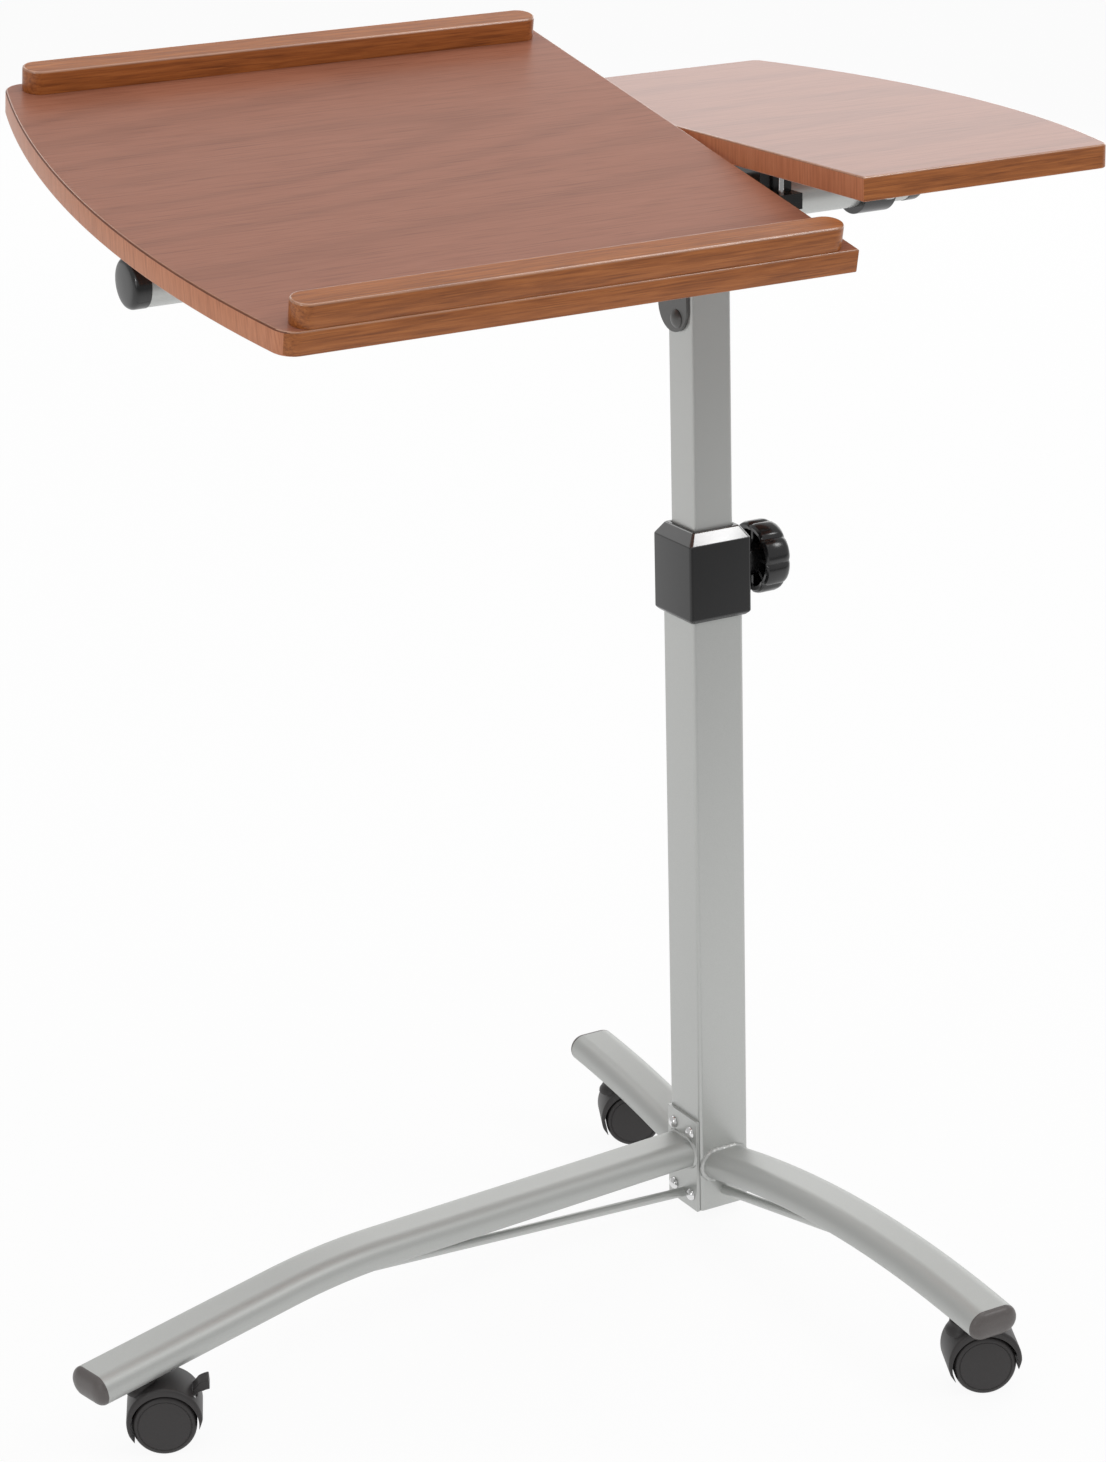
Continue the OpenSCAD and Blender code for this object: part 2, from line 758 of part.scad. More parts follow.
plate_half = 18.5;
plate_bolt_y = 11;
plate_bolt_edge = 10.5;
plate_bolt_z = [outer_z0 + plate_bolt_edge, plate_z1 - plate_bolt_edge];
module plate_holes(r) {
    for (y = [-1, 1], z = plate_bolt_z)
        translate([-outer_w, y * plate_bolt_y, z]) rotate([0, 90, 0]) cylinder(r = r, h = outer_w);
}

module leg_plate() {
    color(silver) difference() {
        translate([plate_x, -plate_half, outer_z0]) cube([plate_t, 2 * plate_half, plate_z1 - outer_z0]);
        plate_holes(plate_bolt_r);
    }
}

plate_head_r = 4.5;
plate_head_h = 3.5;
plate_nut_l = 6;
module plate_bolts() {
    dome_r = (plate_head_r * plate_head_r + plate_head_h * plate_head_h) / (2 * plate_head_h);
    color(steel) for (y = [-1, 1], z = plate_bolt_z)
        translate([plate_x, y * plate_bolt_y, z]) rotate([0, 90, 0]) {
        cylinder(r = plate_bolt_r, h = plate_t + outer_wall + plate_nut_l);
        intersection() {
            translate([0, 0, -plate_head_h]) cylinder(r = plate_head_r, h = plate_head_h);
            translate([0, 0, dome_r - plate_head_h]) sphere(r = dome_r);
        }
    }
}

module plate_nuts() {
    color(steel) for (y = [-1, 1], z = plate_bolt_z) translate([-outer_h + outer_wall, y * plate_bolt_y, z])
        rotate([0, 90, 0]) difference() {
            cylinder(r = plate_bolt_r + 2, h = plate_nut_l);
            translate([0, 0, -1]) cylinder(r = plate_bolt_r, h = plate_nut_l + 2);
        }
}

// A straight rod between two points in a plane along +X
module rod(s0, z0, s1, z1) {
    a = atan2(z1 - z0, s1 - s0);
    translate([s0, 0, z0]) rotate([0, 90 - a, 0]) cylinder(r = rod_r, h = norm([s1 - s0, z1 - z0]));
}

rod_root_z = outer_z0 + 8;
front_rod_end = 185;
module front_tie_rod() {
    color(silver) difference() {
        rotate(-90) rod(0, rod_root_z, front_rod_end, arch_height(front_rod_end) - arm_half);
        rotate(180) arch_sweep(front_l) rotate(90) oval(arm_w, arm_h);
        translate([-outer_w, -outer_h, 0]) cube([2 * outer_w, outer_w, 2 * arch_z]);
    }
}

leg_rod_end = knee_s - rod_r * 2;
module leg_tie_rod() {
    color(silver) difference() {
        at_plate() difference() {
            rod(0, rod_root_z, leg_rod_end, leg_height(leg_rod_end) - arm_half);
            leg_sweep(arm_w, arm_h);
        }
        translate([plate_x, -outer_w, 0]) cube([outer_w, 2 * outer_w, 2 * knee_z]);
    }
}

// End cap of an arm: a domed oval with a plug. It points to +Z, with its width along X.
arm_plug_l = 12;
plug_play = 0.3;
module arm_cap() {
    inset = 3;
    hull() {
        linear_extrude(arm_cap_l - inset) oval(arm_w, arm_h, $fn = 32);
        linear_extrude(arm_cap_l) oval(arm_w - 2 * inset, arm_h - 2 * inset, $fn = 32);
    }
    translate([0, 0, -arm_plug_l]) linear_extrude(arm_plug_l)
        oval(arm_w - 2 * (arm_wall + plug_play), arm_h - 2 * (arm_wall + plug_play));
}

// Places an arm cap on the end of an arch arm that reaches along +Y
module on_arch_end(reach) {
    slope = asin((arch_y - reach) / arch_r);
    translate([0, reach, arch_height(reach)]) rotate([slope, 0, 0]) rotate([-90, 0, 0]) children();
}

module front_end_cap() { color(black) rotate(180) on_arch_end(front_l) arm_cap(); }
module back_end_cap() { color(black) on_arch_end(back_l) arm_cap(); }
module leg_end_cap() {
    color(black) at_plate() translate([leg_l, 0, leg_z1])
        rotate([0, -leg_a2, 0]) rotate([90, 0, 90]) arm_cap();
}

// Moves a caster part from under the origin to each of the three stems
module at_front() { translate([0, -front_stem_y, 0]) children(); }
module at_back() { translate([0, back_stem_y, 0]) children(); }
module at_leg() { at_plate() translate([leg_stem_s, 0, 0]) rotate(-leg_turn) children(); }

stem_bite = boss_z * 0.15;
stem_z0 = boss_z - stem_bite;
stem_collar_r = stem_r * 1.75;
stem_above = arm_h / 3;
module stem_shank(arm_z) {
    translate([0, 0, stem_z0]) cylinder(r = stem_r, h = arm_z - arm_half + arm_wall + stem_above - stem_z0);
}
module stem_collar(arm_z) {
    translate([0, 0, boss_z + stem_gap]) cylinder(r = stem_collar_r, h = arm_z - boss_z);
}

// The stems stand in the arms, and each has a round collar that bears against its arm from below
module caster_stems() {
    color(steel) {
        at_front() stem_shank(arch_height(front_stem_y));
        at_back() stem_shank(arch_height(back_stem_y));
        at_leg() stem_shank(leg_height(leg_stem_s));
        difference() {
            at_front() stem_collar(arch_height(front_stem_y));
            rotate(180) arch_sweep(front_l) rotate(90) oval(arm_w, arm_h);
        }
        difference() {
            at_back() stem_collar(arch_height(back_stem_y));
            arch_sweep(back_l) rotate(90) oval(arm_w, arm_h);
        }
        difference() {
            at_leg() stem_collar(leg_height(leg_stem_s));
            at_plate() leg_sweep(arm_w, arm_h);
        }
    }
}

axle_r = 2.5;
hood_w = 2 * wheel_w + wheel_gap + 1;
hood_in_r = wheel_r + 1.2;
hood_out_r = hood_in_r + hood_t - 0.7;
hood_rise = 2.5;
hood_low = 6.3;
hood_slant = 8;
web_w = wheel_gap - 2 * pass_c;
boss_r = 8.5;
boss_floor = 2;

// Side view of the hood's shell, centred on the axle. It thins out towards its two lower tips, and the tip
// on the stem's side reaches lower.
module hood_outline() {
    intersection() {
        translate([0, hood_rise]) circle(r = hood_out_r, $fn = 96);
        rotate(hood_slant) translate([-2 * wheel_r, -hood_low]) square([4 * wheel_r, 3 * wheel_r]);
    }
}

module along_axle(w) { translate([trail, w / 2, wheel_r]) rotate([90, 0, 0]) linear_extrude(w) children(); }

// The room for one wheel, on the side given by 1 or -1
module wheel_room(side) {
    translate([trail, side * (web_w / 2 + wheel_w), wheel_r]) rotate([90, 0, 0])
        cylinder(r = hood_in_r, h = 2 * wheel_w, center = true, $fn = 96);
}

// The hood of a caster: a shell over both wheels, a web between them that carries the axle, and the stem's boss
axle_boss_r = 6;
module hood() {
    color(black) rotate(caster_turn) difference() {
        union() {
            along_axle(hood_w) hood_outline();
            translate([0, 0, stem_z0 - boss_floor]) cylinder(r = boss_r, h = stem_bite + boss_floor);
        }
        wheel_room(1);
        wheel_room(-1);
        along_axle(web_w) difference() {
            translate([-hood_in_r, -hood_in_r]) square([2 * hood_in_r, hood_in_r]);
            circle(r = axle_boss_r);
            lower_shell();
        }
        translate([0, 0, stem_z0 - 1]) cylinder(r = stem_r + run_c, h = boss_z);
        along_axle(2 * hood_w) circle(r = axle_r + run_c);
    }
}

// What stays of the shell below the axle between the wheel rooms
module lower_shell() {
    difference() {
        square([3 * hood_in_r, 3 * hood_in_r], center = true);
        circle(r = hood_in_r, $fn = 96);
    }
}

module front_hood() { at_front() hood(); }
module back_hood() { at_back() hood(); }

// Where the brake lever's pin stands in the hood of the leg's caster
lever_w = 12;
lever_pin_r = 1.2;
lever_hub_r = 3;
lever_pin_d = hood_in_r + lever_hub_r;
lever_angle = 40;
lever_reach = 8.5;
lever_swing = 2;
module at_lever_pin() { rotate(lever_angle) translate([lever_pin_d, 0]) rotate(-lever_angle) children(); }

module leg_hood() {
    at_leg() difference() {
        color(black) hood();
        rotate(caster_turn) along_axle(lever_w + 2 * pass_c) at_lever_pin() {
            circle(r = lever_hub_r + pass_c);
            rotate(lever_angle) translate([0, -lever_hub_r - pass_c - lever_swing])
                square([lever_reach, 2 * (lever_hub_r + pass_c + lever_swing) + 1]);
        }
        rotate(caster_turn) along_axle(lever_w + 8) at_lever_pin() circle(r = lever_pin_r);
    }
}

module axle() {
    color(steel) rotate(caster_turn) translate([trail, 0, wheel_r]) rotate([90, 0, 0])
        cylinder(r = axle_r, h = wheel_gap + 2 * wheel_w - 4, center = true);
}

module front_axle() { at_front() axle(); }
module back_axle() { at_back() axle(); }
module leg_axle() { at_leg() axle(); }

// Two wheels on one axle, each with a shallow dish in its outer face
module wheels() {
    color(black) rotate(caster_turn) translate([trail, 0, wheel_r]) for (s = [-1, 1])
        rotate([s * 90, 0, 0]) translate([0, 0, wheel_gap / 2]) rotate_extrude($fn = 96)
            polygon([[axle_r, 0], [wheel_r - 1, 0], [wheel_r, 1], [wheel_r, wheel_w - 2], [wheel_r - 2, wheel_w],
                     [wheel_r - 4, wheel_w], [wheel_r - 5, wheel_w - 1], [0, wheel_w - 1], [0, wheel_w - 2],
                     [axle_r, wheel_w - 2]]);
}

module front_wheels() { at_front() wheels(); }
module back_wheels() { at_back() wheels(); }
module leg_wheels() { at_leg() wheels(); }

// Brake lever of the leg's caster: a short curved tab that turns on a pin in the hood
module leg_brake_lever() {
    color(black) at_leg() rotate(caster_turn) along_axle(lever_w) at_lever_pin() difference() {
        union() {
            circle(r = lever_hub_r);
            rotate(lever_angle) translate([0, -lever_hub_r]) square([lever_reach, 2 * lever_hub_r + 1]);
        }
        rotate(lever_angle) translate([lever_reach - 1, -3 * lever_hub_r]) circle(r = 2.6 * lever_hub_r);
        circle(r = lever_pin_r + run_c);
    }
}

module leg_brake_pin() {
    color(steel) at_leg() rotate(caster_turn) along_axle(lever_w + 8) at_lever_pin() circle(r = lever_pin_r);
}

laptop_board();
front_ledge();
back_ledge();
ledge_screws();
tilt_clamp_blocks();
tilt_clamp_straps();
tilt_clamp_screws();
left_tilt_knob();
left_tilt_stud();
right_tilt_knob();
right_tilt_stud();
side_board();
side_clamp_blocks();
side_clamp_straps();
side_clamp_screws();
cross_tube();
left_tube_cap();
right_tube_cap();
head_bracket();
head_bolt();
head_nut();
inner_column();
guide_shoe();
height_knob();
height_stud();
rivet_nut();
collar();
outer_column();
foot_plug();
front_arm();
back_arm();
side_leg();
leg_plate();
plate_bolts();
plate_nuts();
front_tie_rod();
leg_tie_rod();
front_end_cap();
back_end_cap();
leg_end_cap();
caster_stems();
front_hood();
front_axle();
front_wheels();
back_hood();
back_axle();
back_wheels();
leg_hood();
leg_axle();
leg_wheels();
leg_brake_lever();
leg_brake_pin();
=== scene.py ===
"""Looks of the rolling laptop desk: detailed pieces, procedural materials, studio and camera."""

import json
import math

import bmesh
import bpy
from mathutils import Matrix, Vector


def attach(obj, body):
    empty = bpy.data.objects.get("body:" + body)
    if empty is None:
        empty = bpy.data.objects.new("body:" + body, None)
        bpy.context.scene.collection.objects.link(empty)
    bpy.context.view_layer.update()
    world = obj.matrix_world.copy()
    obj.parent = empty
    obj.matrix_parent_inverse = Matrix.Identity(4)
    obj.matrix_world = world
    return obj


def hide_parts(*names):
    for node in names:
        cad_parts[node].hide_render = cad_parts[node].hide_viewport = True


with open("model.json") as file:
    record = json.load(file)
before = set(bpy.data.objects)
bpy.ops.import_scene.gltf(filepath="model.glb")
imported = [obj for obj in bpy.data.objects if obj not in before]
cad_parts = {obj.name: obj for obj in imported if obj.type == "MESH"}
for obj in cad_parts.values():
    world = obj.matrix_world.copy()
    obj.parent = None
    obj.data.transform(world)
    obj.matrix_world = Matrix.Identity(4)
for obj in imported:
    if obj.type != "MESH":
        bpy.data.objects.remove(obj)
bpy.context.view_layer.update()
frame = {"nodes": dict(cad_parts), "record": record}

MM = 0.001

# Camera, from a perspective fit of the object's known corners to the photograph
PHOTO_W, PHOTO_H = 1106, 1462
CAM_AT = (-1.25065, -2.02248, 1.18378)
CAM_YAW = math.radians(-30.123)
CAM_PITCH = math.radians(-19.263)
CAM_ROLL = math.radians(-1.218)
CAM_FOCAL_PX = 3765.28
CAM_CENTRE_PX = (604.58, 730.44)
SENSOR_W = 36

# Sizes of the part in millimetres, as in its source
BOARD_T, BOARD_D, FRONT_Y, BOARD_TOP, END_BULGE = 15, 400, -193, 755, 30
LAPTOP_W, LAPTOP_X1, LAPTOP_CORNER = 377, -11, 14
SIDE_W, SIDE_X0, SIDE_CORNER = 181, -4, 7
LEDGE_H, LEDGE_D, LEDGE_L = 15, 20, 362
LEDGE_MID, LEDGE_YS = -199.5, {"front_ledge": -182, "back_ledge": 194}
CROSS_Z, CROSS_R, CROSS_X0, CROSS_X1 = 707, 15.5, -392, 162
TILT = math.radians(12)
OUTER_W, OUTER_R, OUTER_Z0, OUTER_Z1 = 39, 3, 8, 488
INNER_W, INNER_R, INNER_Z0, INNER_Z1 = 30, 2.5, 208, 688
WALL = 1.5
COLLAR_HALF, COLLAR_Z0, COLLAR_Z1 = 23.5, 435, 496
COLLAR_CHAMFER, COLLAR_SLANT, COLLAR_FOOT = 8, 5.52, 2.5
KNOB_X, KNOB_Z, KNOB_R, KNOB_T, KNOB_HUB_R, KNOB_HUB_L, KNOB_LOBES = 36.5, 466, 24.5, 20, 12, 12, 8
TILT_KNOB_XS = {"left": -255, "right": -62}
TILT_KNOB_Y, TILT_KNOB_Z = -26, CROSS_Z - 20.5
TILT_KNOB_R, TILT_KNOB_T, TILT_HUB_R, TILT_HUB_L, TILT_KNOB_LOBES = 17, 12, 5.5, 15, 6
ARCH_R, ARCH_Y, ARCH_Z = 922, 225, 65
FRONT_L, BACK_L = 332, 160
PLATE_X, LEG_TURN = -22, math.radians(191.5)
LEG_L, LEG_Z0, KNEE_S, KNEE_Z, LEG_Z1, KNEE_R = 493, 50, 309, 73, 56, 470
FRONT_STEM, BACK_STEM, LEG_STEM = 301, 129, 456
WHEEL_R, WHEEL_IN, WHEEL_OUT, TRAIL = 20, 3, 16, 12
CASTER_TURN = math.radians(-25)
HOOD_IN, HOOD_OUT, HOOD_RISE, HOOD_HALF = 21.2, 23.5, 2.5, 16.5
TIP_FRONT, TIP_BACK = math.radians(-8), math.radians(207)
BOSS_Z = 46.5
LEVER_ANGLE, LEVER_PIN_D = math.radians(40), 24.2

# Sizes of the scene's own, in millimetres. The arms are a little slimmer than their solids, as the photo shows them.
# SEAT is the gap of pieces that rest on each other, RUN that of pieces that slide.
SEAT, RUN = 0.02, 0.05
ARM_W, ARM_H, ARM_SINK = 35, 20, 0.7
ARM_WELD_R, LEG_WELD_R = 2.3, 1.6
BOARD_ROUNDING, LEDGE_ROUNDING, TUBE_ROUNDING = (1.0, 1.1), (0.3, 1.3), 0.4
SMALL_ROUNDING = 0.4


# ---------------------------------------------------------------- materials

# Sockets of a mix node that mixes colours
MIX_COLOURS, MIX_RESULT = (6, 7), 2
# Wood: the flamed rings are sines of a broad noise, the pores a fine noise
FLAME_STRETCH, FLAME_SCALE, RINGS_PER_FLAME = 3.2, 5.5, 80.0
RING_DARK, RING_LIGHT = 0.09, 0.025
PORE_STRETCH, PORE_SCALE = 0.6, 950.0
COAT_ROUGHNESS = 0.2


def new_material(name):
    """A new node material, its node tree and its shader."""
    mat = bpy.data.materials.new(name)
    mat.use_nodes = True
    tree = mat.node_tree
    return mat, tree, tree.nodes["Principled BSDF"]


def stretched_coords(tree, scale):
    """Object coordinates, scaled per axis so that a pattern stretches along the axis with the small scale."""
    coords = tree.nodes.new("ShaderNodeTexCoord")
    mapping = tree.nodes.new("ShaderNodeMapping")
    mapping.inputs["Scale"].default_value = scale
    tree.links.new(coords.outputs["Object"], mapping.inputs["Vector"])
    return mapping.outputs["Vector"]


def ramp(tree, source, stops):
    """A colour ramp from a list of (position, colour)."""
    n = tree.nodes.new("ShaderNodeValToRGB")
    elements = n.color_ramp.elements
    while len(elements) < len(stops):
        elements.new(0.5)
    for element, (position, colour) in zip(elements, stops):
        element.position = position
        element.color = (*colour, 1)
    tree.links.new(source, n.inputs["Fac"])
    return n.outputs["Color"]


def math_node(tree, operation, a, b, clamp=False):
    """A math node whose inputs are sockets or constants."""
    n = tree.nodes.new("ShaderNodeMath")
    n.operation = operation
    n.use_clamp = clamp
    for socket, value in zip(n.inputs, (a, b)):
        if isinstance(value, bpy.types.NodeSocket):
            tree.links.new(value, socket)
        else:
            socket.default_value = value
    return n.outputs[0]


def map_range(tree, value, low, high, to_low, to_high):
    """Maps a socket's value from one range to another."""
    n = tree.nodes.new("ShaderNodeMapRange")
    for name, number in (("From Min", low), ("From Max", high), ("To Min", to_low), ("To Max", to_high)):
        n.inputs[name].default_value = number
    tree.links.new(value, n.inputs["Value"])
    return n.outputs["Result"]


def multiplied(tree, a, b):
    """The product of two colour sockets."""
    n = tree.nodes.new("ShaderNodeMix")
    n.data_type = "RGBA"
    n.blend_type = "MULTIPLY"
    n.inputs["Factor"].default_value = 1.0
    for index, source in zip(MIX_COLOURS, (a, b)):
        tree.links.new(source, n.inputs[index])
    return n.outputs[MIX_RESULT]


def bump(tree, shader, height, strength, distance):
    """Surface relief from a height socket."""
    n = tree.nodes.new("ShaderNodeBump")
    n.inputs["Strength"].default_value = strength
    n.inputs["Distance"].default_value = distance
    tree.links.new(height, n.inputs["Height"])
    tree.links.new(n.outputs["Normal"], shader.inputs["Normal"])


def noise(tree, vector, scale, detail=4.0, roughness=0.6, distortion=0.0):
    """The value of a noise texture."""
    n = tree.nodes.new("ShaderNodeTexNoise")
    n.inputs["Scale"].default_value = scale
    n.inputs["Detail"].default_value = detail
    n.inputs["Roughness"].default_value = roughness
    n.inputs["Distortion"].default_value = distortion
    tree.links.new(vector, n.inputs["Vector"])
    return n.outputs["Fac"]


def wood(name, dark, mid, light, grain, roughness, fine, figure, pores):
    """Printed wood laminate. grain is the coordinate scale: small along the grain, 1 across it. fine is the scale
    of the grain's lines, figure the strength of the flamed rings and pores that of the short dark lines."""
    mat, tree, shader = new_material(name)
    lines = noise(tree, stretched_coords(tree, grain), fine, detail=5, roughness=0.65, distortion=0.15)
    colour = ramp(tree, lines, [(0.3, dark), (0.5, mid), (0.72, light)])
    flame_coords = stretched_coords(tree, tuple(min(1.0, c * FLAME_STRETCH) for c in grain))
    flame = noise(tree, flame_coords, FLAME_SCALE, detail=1.5, roughness=0.4, distortion=0.25)
    rings = math_node(tree, "SINE", math_node(tree, "MULTIPLY", flame, RINGS_PER_FLAME), 0.0)
    low, high = 1 - RING_DARK * figure, 1 + RING_LIGHT * figure
    tone = ramp(tree, map_range(tree, rings, -1, 1, 0, 1),
                [(0.0, (low, low * 0.99, low * 0.98)), (0.35, (1, 1, 1)), (1.0, (high, high, high))])
    pore_coords = stretched_coords(tree, tuple(c * PORE_STRETCH if c < 1 else 1 for c in grain))
    short = noise(tree, pore_coords, PORE_SCALE, detail=1, roughness=0.4)
    mark = 1 - pores
    marks = ramp(tree, short, [(0.56, (1, 1, 1)), (0.7, (mark, mark * 0.95, mark * 0.92))])
    colour = multiplied(tree, multiplied(tree, colour, tone), marks)
    tree.links.new(colour, shader.inputs["Base Color"])
    shader.inputs["Roughness"].default_value = roughness
    bump(tree, shader, lines, 0.12, 0.0001)
    return mat


def speckled(name, colour, roughness, metallic, scale, detail, spread, edges, relief, stretch=(1, 1, 1)):
    """A material with a fine noise in its colour and relief. spread is the darkest and the lightest share of the
    colour, edges the noise values that get them."""
    mat, tree, shader = new_material(name)
    grains = noise(tree, stretched_coords(tree, stretch), scale, detail)
    shades = [(edge, tuple(c * share for c in colour)) for edge, share in zip(edges, spread)]
    tree.links.new(ramp(tree, grains, shades), shader.inputs["Base Color"])
    shader.inputs["Metallic"].default_value = metallic
    shader.inputs["Roughness"].default_value = roughness
    if relief:
        bump(tree, shader, grains, relief, 0.00005)
    return mat


def satin_metal(name, colour, roughness, metallic):
    """Silver powder coat: a metallic base with a very fine speckle."""
    return speckled(name, colour, roughness, metallic, 2600.0, 2, (0.96, 1.04), (0.35, 0.65), 0.08)


def plastic(name, colour, roughness, relief=0.15):
    """Moulded plastic with a fine grain."""
    return speckled(name, colour, roughness, 0.0, 1800.0, 3, (0.85, 1.15), (0.3, 0.7), relief)


def plated(name, colour, roughness):
    """Plated steel with faint brushing."""
    return speckled(name, colour, roughness, 1.0, 900.0, 2, (0.9, 1.0), (0.3, 0.7), 0.0, (1, 1, 12))


def polish(mat, specular, coat, coat_ior):
    """Makes a material reflect more, as a face does where it is polished."""
    shader = mat.node_tree.nodes["Principled BSDF"]
    shader.inputs["Specular IOR Level"].default_value = specular
    shader.inputs["Coat Weight"].default_value = coat
    shader.inputs["Coat IOR"].default_value = coat_ior
    shader.inputs["Coat Roughness"].default_value = COAT_ROUGHNESS


# Coordinate scales of a grain that runs along an axis
GRAIN_X = (0.045, 1, 1)
GRAIN_Y = (1, 0.045, 1)
GRAIN_Z = (1, 1, 0.06)

# dark, mid and light colour, grain, roughness, fine, figure, pores
WOODS = {
    "board_top": ((0.3, 0.111, 0.064), (0.338, 0.13, 0.077), (0.366, 0.148, 0.09), GRAIN_X, 0.33, 520.0, 1.0, 0.22),
    "edge_wood": ((0.24, 0.07, 0.015), (0.37, 0.115, 0.026), (0.48, 0.165, 0.042), GRAIN_X, 0.33, 520.0, 0.3, 0.3),
    "edge_side": ((0.46, 0.165, 0.075), (0.56, 0.215, 0.105), (0.63, 0.26, 0.135), GRAIN_Z, 0.36, 600.0, 0.0, 0.12),
    # the rounding at the tilted board's curved end: painted shade, a dark line
    "edge_seam": ((0.13, 0.035, 0.012), (0.17, 0.05, 0.018), (0.21, 0.065, 0.025), GRAIN_Y, 0.4, 480.0, 0.0, 0.0),
    # the rounding of upper edges: glossy wood, a little lighter as a painted highlight
    "edge_bevel": ((0.3, 0.1, 0.03), (0.4, 0.15, 0.05), (0.48, 0.2, 0.08), GRAIN_X, 0.3, 480.0, 0.2, 0.2),
}
# colour, roughness, metallic
SATIN_METALS = {
    "silver_coat": ((0.56, 0.57, 0.555), 0.35, 0.6),
    # the arms' copy of the silver coat: rougher, and a little darker as painted shade that tones down their sheen
    "silver_arm": ((0.535, 0.545, 0.53), 0.48, 0.6),
    # the head bracket's silver, painted dark as painted shade: the bracket sits in shade under the boards
    "bracket_dark": ((0.13, 0.13, 0.127), 0.33, 0.5),
}
# colour, roughness, and relief where it is less than usual
PLASTICS = {
    "black_gloss": ((0.008, 0.008, 0.0085), 0.2, 0.03),
    # the collar's slopes: the same black plastic painted a little lighter as a painted highlight; it also reflects
    # more
    "collar_slope": ((0.02, 0.02, 0.02), 0.22, 0.04),
    "grey_cap": ((0.115, 0.103, 0.099), 0.36),
    "caster_black": ((0.032, 0.029, 0.029), 0.45),
    "nylon": ((0.03, 0.03, 0.03), 0.5),
}
# colour, roughness
PLATED_STEELS = {"chrome": ((0.82, 0.82, 0.82), 0.16), "zinc": ((0.6, 0.6, 0.6), 0.3)}
# specular level, coat weight, coat IOR
POLISHED = {"edge_bevel": (0.8, 1.0, 1.7), "black_gloss": (0.7, 0.0, 1.5), "collar_slope": (1.0, 1.0, 2.0)}

MATERIALS = {}
for make, table in ((wood, WOODS), (satin_metal, SATIN_METALS), (plastic, PLASTICS), (plated, PLATED_STEELS)):
    for name, values in table.items():
        MATERIALS[name] = make(name, *values)
for name, values in POLISHED.items():
    polish(MATERIALS[name], *values)


# ---------------------------------------------------------------- mesh helpers

record = frame["record"]
SLOT_OF = {part["node"]: part["material_slot"] for part in record["subparts"]}
BODY_OF = {n: body for body, nodes in record["behaviour"]["bodies"].items() for n in nodes}

TILTED = Matrix.Translation((0, 0, CROSS_Z)) @ Matrix.Rotation(TILT, 4, "X") @ Matrix.Translation((0, 0, -CROSS_Z))
MERGE_GAP, CAD_MERGE_GAP, CAD_FLAT = 0.001 * MM, 0.02 * MM, math.radians(0.6)
SLAB_BORDER, OVAL_BORDER = 0.6, 0.8


def smooth_by_angle(obj, degrees=35):
    """Shades smoothly across edges flatter than the angle."""
    for polygon in obj.data.polygons:
        polygon.use_smooth = True
    limit = math.cos(math.radians(degrees))
    mesh = bmesh.new()
    mesh.from_mesh(obj.data)
    for edge in mesh.edges:
        if len(edge.link_faces) == 2:
            a, b = edge.link_faces
            edge.smooth = a.normal.dot(b.normal) > limit
    mesh.to_mesh(obj.data)
    mesh.free()


def add_object(name, mesh, body, slot_name, nodes=()):
    """Puts a mesh in the scene, on its body, with its finish, in place of its CAD nodes."""
    obj = bpy.data.objects.new(name, mesh)
    bpy.context.scene.collection.objects.link(obj)
    mesh.materials.clear()
    mesh.materials.append(MATERIALS[slot_name])
    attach(obj, body)
    if nodes:
        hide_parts(*nodes)
    return obj


def add_rounding(obj, width, segments, degrees=32):
    """Rounds the edges that are sharper than the angle."""
    rounding = obj.modifiers.new("rounding", "BEVEL")
    rounding.width = width * MM
    rounding.segments = segments
    rounding.limit_method = "ANGLE"
    rounding.angle_limit = math.radians(degrees)


def dressed(cad_node, bevel):
    """A copy of a CAD node's mesh with clean faces and rounded edges."""
    mesh = frame["nodes"][cad_node].data.copy()
    mesh.name = "dressed_" + cad_node
    work = bmesh.new()
    work.from_mesh(mesh)
    bmesh.ops.remove_doubles(work, verts=work.verts, dist=CAD_MERGE_GAP)
    bmesh.ops.dissolve_limit(work, angle_limit=CAD_FLAT, verts=work.verts, edges=work.edges)
    work.to_mesh(mesh)
    work.free()
    obj = add_object("dressed_" + cad_node, mesh, BODY_OF[cad_node], SLOT_OF[cad_node], [cad_node])
    if bevel:
        add_rounding(obj, bevel, 2)
    smooth_by_angle(obj)
    return obj


def angles(steps):
    """Angles evenly round a circle."""
    return [2 * math.pi * i / steps for i in range(steps)]


def arc(centre, radius, start, end, steps):
    """Points on an arc in a plane, angles in radians."""
    return [(centre[0] + radius * math.cos(start + (end - start) * i / steps),
             centre[1] + radius * math.sin(start + (end - start) * i / steps)) for i in range(steps + 1)]


def turned_rings(profile, place, steps):
    """Circles through (radius, height) points round the place's Z axis."""
    return [[place @ Vector((r * math.cos(a), r * math.sin(a), h)) for a in angles(steps)] for r, h in profile]


